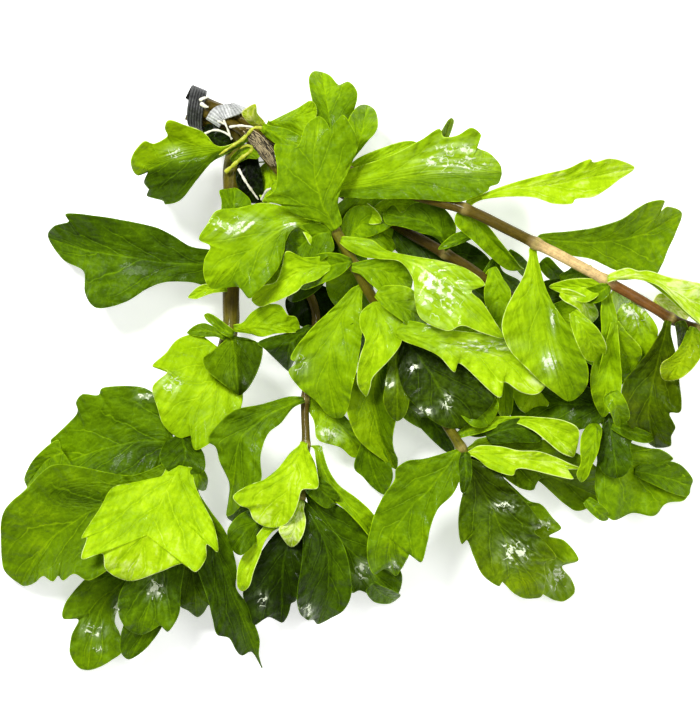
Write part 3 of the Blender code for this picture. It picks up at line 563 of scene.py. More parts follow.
def buildOldRoots(material):
    # many thin tubes round the tuft's middle line, each with its own twist, start and end
    count, steps, sides = oldRoots["fibres"], oldRoots["steps"], oldRoots["sides"]
    core = toSpace(oldRoots["line"])

    def fresh(low, high):
        # one random number for each fibre
        return random.uniform(low, high, count)[:, None]

    begin = fresh(*oldRoots["begin"])
    end = fresh(*oldRoots["end"])
    share = begin + (end - begin) * np.linspace(0, 1, steps)
    middle = curveAt(core, share.ravel() * (len(core) - 1)).reshape(count, steps, 4)
    turn = fresh(0, 2 * math.pi) + share * fresh(*oldRoots["twist"])
    away = middle[..., 3] * oldRoots["spread"] * fresh(*oldRoots["out"])
    sway = oldRoots["sway"] * np.sin(share * fresh(*oldRoots["sways"]) + turn)
    paths = middle[..., :3].copy()
    across, upwards = oldRoots["flat"]
    paths[..., 0] += (away + sway) * np.cos(turn)
    paths[..., 1] += (away + sway) * np.sin(turn) * across
    paths[..., 2] += away * np.sin(turn + 1.1) * upwards
    taper = 1 - oldRoots["taper"] * np.linspace(0, 1, steps) ** 3
    points, faces = [], []
    for number, path in enumerate(paths):
        radii = oldRoots["radius"] * random.uniform(*oldRoots["thick"]) * taper
        points.append(tubePoints(path, radii, sides))
        first = number * steps * sides
        faces += [[corner + first for corner in face] for face in tubeFaces(steps, sides)]
    tint = np.repeat(random.uniform(0, 1, count), steps * sides)
    flow = pointColours(tint, tint, tint, 1.0)
    piece = meshPiece("root_tuft_fibres", np.concatenate(points), faces, {"flow": flow})
    finishPiece(piece, material, "root_tuft")


def buildLooseRoots(white, yellow):
    # a thin tube with swellings by sines along each route, thinner towards its end
    sides = looseForm["sides"]
    for name, (radius, route) in looseRoots.items():
        line = smoothRoute(toSpace(route), looseForm["step"])
        run = runOf(line)
        swell = 1 + sum(height * np.sin(run * turn) for turn, height in looseForm["swell"])
        radii = radius * swell * (1 - looseForm["taper"] * (run / run[-1]) ** 4)
        piece = meshPiece(name, tubePoints(line, radii, sides), tubeFaces(len(line), sides))
        finishPiece(piece, white if name.startswith("white") else yellow)


# The leaves

leafFields = ("name", "stem", "tone", "rise", "tipHeight", "cup", "midrib", "oneEdge", "otherEdge")

# leaves from the lowest to the topmost, with the stems where they come in the heap: name, stem,
# tone (0 black to 1 palest green: the leaf's own green with the shade or light that falls on it
# painted in), how far the midrib bows up and the height of the tip in mm, how steeply the sides
# turn up in degrees, then plan places as x, y, x, y and so on: of the midrib from the stem to the
# tip, and of both edges with their lobes
leaves = (
    # the heap at the lower left, under the end of the thick stem
    ("leaf_left_1", "stem_left", 0.53, 3, 1, 20, (184, 486, 174, 525, 140, 562, 97, 615, 84, 674),
     (165, 520, 120, 558, 95, 572, 80, 584, 64, 604, 61, 620, 76, 622, 69, 638, 67, 656, 74, 670),
     (185, 530, 160, 562, 140, 582, 126, 598, 116, 612, 113, 624, 118, 636, 120, 654, 108, 664,
      96, 671)),
    ("leaf_left_2", "stem_left", 0.42, 3, 2, 20, (186, 493, 170, 560, 150, 620, 127, 662),
     (172, 530, 150, 575, 135, 600, 124, 622, 119, 640, 119, 654),
     (192, 530, 188, 570, 180, 600, 165, 622, 155, 638, 142, 653)),
    ("leaf_left_3", "stem_left", 0.4, 4, 3, 20, (188, 496, 190, 540, 194, 585, 196, 619),
     (178, 520, 170, 550, 173, 575, 180, 592, 179, 606, 187, 612),
     (200, 520, 212, 550, 218, 580, 215, 605, 208, 606, 203, 614)),
    ("leaf_left_4", "stem_left", 0.36, 7, 1, 30, (193, 484, 215, 540, 228, 585, 246, 632, 261, 672),
     (200, 494, 212, 512, 225, 530, 233, 550, 237, 570, 236, 588, 246, 604, 254, 625, 259, 642,
      258, 658),
     (188, 510, 192, 545, 200, 575, 208, 598, 213, 618, 217, 634, 229, 639, 235, 651, 241, 658,
      251, 655)),
    ("leaf_left_5", "stem_left", 0.41, 7, 5, 15, (176, 482, 160, 560, 140, 636),
     (164, 520, 142, 560, 124, 585, 118, 600, 118, 614, 122, 624, 129, 632),
     (190, 530, 186, 560, 181, 590, 179, 614, 168, 632, 161, 626, 150, 632)),
    ("leaf_left_6", "stem_left", 0.5, 7, 3, 25, (173, 445, 150, 440, 100, 450, 55, 468, 24, 489),
     (172, 430, 165, 408, 145, 388, 106, 387, 98, 395, 83, 394, 76, 402, 76, 414, 56, 434, 49, 441,
      50, 450, 35, 465),
     (166, 462, 156, 475, 142, 484, 120, 488, 100, 492, 85, 494, 70, 496, 60, 497, 50, 498, 42, 498,
      35, 496, 28, 493)),
    ("leaf_left_7", "stem_left", 0.52, 6, 3, 30, (172, 468, 140, 492, 90, 512, 45, 545, 17, 587),
     (162, 464, 149, 470, 131, 475, 108, 472, 80, 466, 58, 464, 45, 470, 24, 491, 10, 503, 1, 518,
      -1, 545, 1, 572),
     (172, 487, 158, 515, 135, 548, 110, 568, 90, 579, 75, 573, 64, 580, 58, 576, 52, 582, 42, 577,
      33, 584, 24, 588)),
    # the heap at the lower middle
    ("leaf_inner_1", "stem_inner", 0.21, 3, 2, 25, (298, 512, 284, 560, 281, 625),
     (288, 520, 268, 542, 254, 565, 243, 592, 248, 610, 253, 626, 261, 622, 269, 619),
     (304, 528, 304, 550, 301, 570, 299, 585, 296, 601, 291, 605, 289, 613, 286, 620)),
    ("leaf_inner_2", "stem_inner", 0.42, 4, 2, 25, (309, 494, 340, 540, 370, 570, 396, 601),
     (320, 497, 342, 508, 362, 528, 378, 548, 394, 562, 402, 575, 402, 588),
     (312, 525, 328, 562, 344, 586, 352, 594, 360, 592, 372, 598, 385, 604)),
    ("leaf_inner_3", "stem_inner", 0.33, 9, 2, 35, (307, 508, 326, 545, 328, 590, 318, 627),
     (314, 510, 328, 526, 340, 538, 347, 555, 351, 578, 351, 596, 344, 611, 331, 620),
     (302, 524, 303, 545, 301, 568, 298, 585, 297, 601, 300, 614, 307, 621, 313, 622)),
    ("leaf_inner_8", "stem_inner", 0.82, 4, 6, 30, (294, 503, 274, 528, 256, 555, 243, 591),
     (283, 510, 264, 526, 250, 545, 240, 561, 237, 575, 238, 587),
     (288, 522, 272, 532, 265, 542, 260, 556, 254, 571, 250, 585)),
    # the heap at the lower right
    ("leaf_middle_4", "stem_middle", 0.38, -2, 6, 10, (407, 345, 440, 380, 486, 437),
     (425, 334, 450, 350, 478, 374, 500, 396, 504, 412, 498, 430),
     (400, 362, 400, 382, 412, 402, 430, 420, 456, 428, 472, 437)),
    ("leaf_middle_1", "stem_middle", 0.62, 4, 1, 20, (470, 458, 505, 500, 540, 550, 567, 604),
     (485, 462, 508, 482, 528, 500, 542, 505, 553, 518, 562, 529, 550, 537, 566, 542, 580, 561,
      564, 568, 574, 582, 577, 595),
     (468, 475, 478, 505, 490, 530, 503, 550, 512, 562, 520, 572, 527, 580, 533, 586, 538, 591,
      543, 595, 549, 599, 557, 603)),
    ("leaf_middle_2", "stem_middle", 0.51, 4, 4, 25, (471, 447, 520, 462, 560, 480, 606, 500),
     (480, 438, 510, 434, 545, 440, 575, 452, 598, 468, 608, 482, 611, 492),
     (486, 464, 505, 478, 520, 488, 534, 490, 537, 480, 566, 505, 582, 512)),
    ("leaf_middle_3", "stem_middle", 0.46, 6, 3, 30, (464, 460, 488, 500, 510, 550, 532, 600),
     (463, 471, 463, 489, 459, 508, 458, 528, 461, 543, 467, 540, 473, 555, 482, 574, 498, 586,
      502, 582, 513, 593, 523, 599),
     (478, 461, 497, 470, 508, 484, 521, 497, 532, 510, 541, 525, 534, 531, 544, 541, 556, 557,
      545, 563, 546, 580, 543, 597)),
    ("leaf_under_1", "stem_under", 0.61, 3, 1, 20, (606, 424, 622, 455, 655, 480, 694, 489),
     (614, 428, 630, 442, 648, 448, 662, 450, 675, 459, 669, 464, 682, 472, 692, 481),
     (602, 440, 596, 472, 597, 498, 612, 520, 634, 514, 656, 517, 669, 505, 688, 502)),
    ("leaf_under_2", "stem_under", 0.33, 4, 6, 25, (608, 414, 613, 445, 617, 478),
     (616, 416, 628, 424, 633, 436, 630, 446, 632, 462, 626, 474),
     (602, 428, 599, 437, 597, 449, 597, 461, 601, 471, 609, 477)),
    ("leaf_right_2", "stem_right", 0.8, 3, 14, 12, (630, 303, 636, 325, 630, 360, 619, 388),
     (620, 305, 614, 316, 614, 335, 616, 360, 617, 378),
     (644, 312, 655, 330, 650, 350, 638, 368, 627, 380)),
    ("leaf_right_1", "stem_right", 0.42, 3, 3, 30, (664, 324, 652, 380, 648, 415, 658, 448),
     (658, 330, 648, 348, 634, 367, 622, 382, 620, 400, 624, 418, 634, 432, 646, 441),
     (668, 335, 673, 355, 677, 380, 679, 410, 668, 413, 674, 427, 671, 436, 671, 446)),
    # the dark leaves behind the middle
    ("leaf_middle_9", "stem_middle", 0.92, 4, 20, 20, (472, 452, 505, 457, 540, 460, 583, 469),
     (480, 445, 500, 446, 518, 450, 538, 451, 556, 457, 571, 464),
     (479, 460, 489, 468, 511, 475, 521, 468, 571, 479, 566, 470)),
    ("leaf_middle_8", "stem_middle", 0.87, 5, 18, 50, (460, 434, 505, 420, 540, 425, 574, 456),
     (480, 418, 515, 416, 540, 417, 562, 420, 577, 428, 578, 442),
     (484, 432, 510, 423, 530, 429, 546, 441, 558, 451, 568, 456)),
    ("leaf_under_5", "stem_under", 0.73, 7, 20, 30, (596, 424, 592, 445, 581, 482),
     (588, 425, 581, 434, 579, 448, 580, 462, 576, 474),
     (602, 430, 600, 440, 597, 452, 591, 466, 587, 477)),
    ("leaf_inner_5", "stem_inner", 0.71, 4, 6, 25, (312, 399, 328, 412, 346, 433, 364, 457),
     (322, 398, 336, 408, 350, 422, 358, 436, 366, 448),
     (308, 410, 314, 422, 318, 440, 340, 448, 352, 458)),
    ("leaf_middle_5", "stem_middle", 0.64, 3, 8, 40, (388, 332, 374, 385, 380, 435, 396, 470),
     (372, 345, 354, 378, 346, 402, 352, 428, 362, 444, 382, 460),
     (394, 352, 396, 385, 397, 412, 393, 436, 394, 450, 398, 460)),
    ("leaf_inner_6", "stem_inner", 0.68, 6, 8, 40, (317, 447, 327, 478, 350, 506, 382, 543),
     (323, 452, 329, 470, 339, 485, 354, 496, 365, 505, 374, 515, 384, 532),
     (316, 462, 320, 484, 331, 498, 344, 509, 358, 523, 368, 535, 375, 543)),
    ("stem_left",),
    ("stem_inner",),
    ("leaf_left_8", "stem_left", 0.78, 5, 20, 20, (226, 350, 215, 378, 195, 402, 171, 433),
     (214, 345, 198, 334, 178, 339, 166, 353, 153, 366, 168, 371, 153, 387, 158, 408, 162, 422),
     (238, 360, 240, 380, 243, 398, 238, 415, 224, 433, 200, 449, 193, 446, 191, 436, 181, 438)),
    ("leaf_left_9", "stem_left", 0.44, 4, 14, 50, (231, 337, 236, 362, 239, 395),
     (224, 341, 210, 354, 203, 359, 206, 369, 216, 378, 229, 388),
     (250, 339, 262, 346, 262, 358, 258, 371, 252, 383, 246, 391)),
    ("leaf_left_10", "stem_left", 0.35, 8, 4, 30, (226, 262, 180, 264, 120, 255, 80, 248, 45, 236),
     (212, 250, 190, 246, 172, 235, 155, 227, 128, 221, 98, 216, 66, 213, 67, 221, 52, 225),
     (214, 286, 190, 282, 165, 282, 146, 289, 125, 302, 97, 308, 84, 293, 82, 271, 61, 259)),
    ("leaf_left_11", "stem_left", 0.85, 8, 20, 15, (181, 465, 165, 495, 150, 530, 131, 580),
     (168, 466, 160, 477, 135, 483, 114, 487, 101, 508, 84, 535, 89, 537, 84, 557, 104, 552,
      108, 569),
     (194, 468, 195, 482, 204, 503, 215, 525, 219, 550, 208, 543, 207, 557, 197, 570, 184, 562,
      160, 571)),
    ("leaf_inner_7", "stem_inner", 0.54, 4, 12, 40,
     (300, 400, 268, 415, 240, 440, 235, 475, 226, 516),
     (286, 397, 262, 404, 235, 410, 217, 425, 208, 440, 216, 447, 220, 462, 229, 483, 228, 500),
     (292, 409, 281, 423, 268, 434, 261, 455, 262, 477, 256, 490, 246, 500, 239, 508, 232, 515)),
    ("leaf_inner_4", "stem_inner", 0.87, 4, 24, 20, (304, 443, 298, 460, 288, 490, 276, 527),
     (299, 445, 290, 453, 278, 468, 264, 479, 248, 485, 234, 495, 240, 504, 249, 508, 254, 519,
      265, 526),
     (308, 449, 313, 458, 317, 470, 318, 487, 303, 489, 299, 500, 296, 509, 292, 517, 287, 523,
      281, 526)),
    ("leaf_left_12", "stem_left", 0.76, 6, 18, 30, (236, 328, 262, 326, 300, 328),
     (243, 322, 252, 312, 265, 305, 280, 305, 288, 315, 296, 317),
     (250, 334, 262, 337, 274, 334, 283, 333, 290, 333, 297, 332)),
    ("stem_under",),
    ("leaf_under_4", "stem_under", 0.85, 4, 16, 35, (540, 322, 572, 320, 588, 345, 597, 368),
     (556, 303, 570, 301, 583, 315, 592, 327, 601, 342, 603, 356),
     (552, 330, 562, 328, 571, 334, 577, 346, 580, 358, 590, 364)),
    ("leaf_middle_6", "stem_middle", 0.68, 4, 12, 40, (360, 288, 338, 325, 328, 370, 336, 418),
     (350, 290, 333, 308, 314, 326, 298, 345, 291, 358, 296, 363, 289, 372, 300, 388, 316, 401,
      327, 414),
     (362, 300, 362, 314, 362, 328, 361, 342, 359, 355, 357, 368, 354, 380, 351, 393, 349, 405,
      344, 416)),
    ("leaf_middle_7", "stem_middle", 0.59, 7, 8, 30,
     (457, 452, 430, 488, 402, 516, 389, 545, 396, 577),
     (446, 452, 425, 458, 408, 460, 396, 468, 394, 480, 383, 496, 374, 515, 370, 530, 367, 545,
      368, 562, 374, 575, 385, 570),
     (460, 466, 459, 480, 452, 494, 438, 508, 431, 524, 427, 542, 422, 561, 416, 559, 411, 553,
      407, 560, 404, 566, 401, 571)),
    ("leaf_under_6", "stem_under", 0.48, 5, 20, 40, (448, 247, 430, 224, 384, 214),
     (456, 228, 447, 212, 432, 203, 412, 204, 402, 213, 393, 205),
     (436, 238, 420, 233, 405, 228, 395, 226, 388, 225, 384, 221)),
    ("stem_middle",),
    ("leaf_middle_10", "stem_middle", 0.67, 3, 26, 40, (352, 268, 380, 270, 412, 284),
     (356, 263, 370, 260, 388, 259, 404, 260, 412, 268),
     (360, 275, 370, 284, 380, 293, 392, 302, 406, 299)),
    ("leaf_middle_11", "stem_middle", 0.82, 4, 22, 30, (375, 303, 379, 330, 372, 360, 366, 396),
     (366, 307, 360, 315, 360, 328, 365, 340, 360, 356, 357, 372, 358, 386),
     (388, 303, 402, 314, 402, 330, 400, 345, 388, 361, 373, 377, 370, 388)),
    ("leaf_middle_12", "stem_middle", 0.87, 6, 26, 20, (396, 332, 450, 345, 500, 357, 546, 384),
     (408, 321, 432, 326, 458, 331, 482, 334, 503, 339, 522, 346, 536, 354, 546, 364, 550, 375),
     (405, 342, 424, 349, 439, 357, 453, 372, 460, 364, 497, 397, 503, 382, 520, 392, 536, 394)),
    ("leaf_middle_16", "stem_middle", 0.8, 7, 28, 25,
     (342, 241, 380, 253, 415, 265, 452, 292, 502, 338),
     (354, 238, 372, 241, 386, 251, 412, 257, 440, 262, 465, 270, 483, 285, 470, 292, 480, 302,
      492, 320),
     (350, 252, 364, 258, 380, 260, 400, 263, 412, 280, 414, 300, 420, 319, 445, 331, 461, 326,
      480, 333)),
    ("leaf_right_3", "stem_right", 0.75, 3, 20, 40, (531, 250, 537, 290, 548, 345, 568, 401),
     (527, 258, 521, 278, 512, 294, 503, 312, 500, 330, 508, 350, 525, 368, 540, 382, 553, 392),
     (536, 258, 540, 275, 546, 294, 556, 312, 568, 330, 577, 348, 585, 366, 586, 382, 580, 394)),
    ("leaf_right_12", "stem_right", 0.75, 4, 12, 30, (604, 293, 607, 330, 606, 370, 603, 417),
     (599, 300, 598, 314, 599, 332, 597, 350, 590, 368, 589, 385, 593, 402),
     (610, 302, 614, 315, 616, 335, 618, 358, 620, 380, 618, 398, 611, 409)),
    ("leaf_right_4", "stem_right", 0.61, 5, 10, 30, (331, 158, 330, 125, 321, 70),
     (323, 148, 316, 125, 314, 108, 311, 95, 309, 84, 309, 76, 313, 70),
     (342, 146, 350, 122, 357, 100, 356, 89, 348, 81, 339, 84, 330, 74)),
    ("leaf_right_5", "stem_right", 0.72, 1, 8, 10, (268, 123, 285, 122, 317, 110),
     (270, 120, 282, 115, 298, 108, 311, 101),
     (276, 129, 288, 136, 303, 136, 313, 125)),
    ("leaf_right_7", "stem_right", 0.9, 6, 18, 20, (468, 204, 500, 192, 560, 184, 635, 168),
     (482, 195, 505, 186, 540, 176, 565, 170, 580, 163, 589, 160, 593, 163, 608, 159, 622, 161),
     (482, 201, 510, 198, 533, 199, 552, 205, 570, 205, 575, 200, 592, 198, 606, 190, 618, 181)),
    ("leaf_right_8", "stem_right", 0.56, 6, 10, 20, (537, 240, 590, 243, 640, 235, 684, 212),
     (547, 234, 570, 232, 595, 228, 620, 220, 636, 209, 650, 202, 664, 201, 661, 211, 669, 206),
     (548, 248, 568, 256, 590, 260, 612, 270, 632, 275, 652, 277, 661, 266, 668, 250, 677, 232)),
    ("stem_right",),
    ("leaf_right_6", "stem_middle", 0.66, 5, 24, 30,
     (303, 193, 345, 190, 390, 182, 440, 173, 501, 174),
     (325, 180, 350, 170, 370, 164, 395, 155, 420, 142, 438, 131, 443, 139, 457, 137, 470, 130,
      480, 137, 475, 148, 488, 154, 499, 165),
     (322, 198, 345, 198, 370, 200, 400, 200, 425, 201, 445, 203, 460, 203, 473, 199, 480, 196,
      487, 192, 489, 188, 497, 185, 500, 179)),
    ("leaf_right_9", "stem_middle", 0.62, 7, 10, 55,
     (250, 134, 230, 146, 208, 152, 170, 160, 136, 174),
     (236, 141, 222, 146, 213, 143, 203, 132, 187, 126, 170, 121, 165, 128, 167, 136, 154, 143,
      144, 141, 133, 152, 130, 164),
     (238, 147, 224, 155, 213, 161, 203, 172, 192, 187, 181, 201, 167, 205, 163, 201, 147, 196,
      149, 190, 143, 181, 151, 170)),
    ("leaf_right_10", "stem_right", 0.96, 6, 33, 25, (606, 279, 640, 277, 675, 295, 706, 310),
     (612, 272, 624, 269, 634, 272, 645, 272, 665, 278, 685, 282, 700, 287),
     (618, 280, 636, 281, 652, 286, 665, 296, 680, 311, 692, 321, 702, 327)),
    ("leaf_right_11", "stem_right", 0.78, 5, 18, 40, (690, 328, 684, 350, 663, 380),
     (682, 334, 677, 345, 668, 356, 658, 363, 657, 373),
     (700, 338, 700, 350, 694, 361, 686, 371, 675, 379)),
    ("leaf_middle_13", "stem_middle", 0.81, 4, 20, 30, (342, 264, 300, 272, 252, 301),
     (330, 256, 305, 258, 287, 252, 282, 268, 276, 282, 263, 286, 254, 294),
     (330, 271, 318, 280, 304, 285, 297, 292, 283, 299, 270, 304, 260, 307)),
    ("leaf_middle_14", "stem_middle", 0.69, 5, 26, 20,
     (318, 227, 290, 226, 262, 243, 238, 263, 213, 289),
     (305, 214, 283, 207, 262, 204, 240, 209, 218, 212, 208, 226, 200, 240, 211, 247, 205, 261,
      205, 278),
     (310, 234, 297, 228, 287, 240, 284, 254, 279, 268, 270, 280, 258, 292, 250, 299, 242, 290,
      236, 287)),
    ("leaf_middle_15", "stem_middle", 0.64, 6, 36, 20, (335, 230, 321, 200, 314, 165, 320, 119),
     (322, 224, 298, 217, 280, 206, 264, 202, 276, 191, 278, 170, 276, 147, 297, 150, 305, 130,
      312, 122),
     (342, 222, 338, 205, 343, 185, 352, 165, 358, 146, 352, 130, 343, 118, 336, 126, 331, 132,
      327, 125)),
)

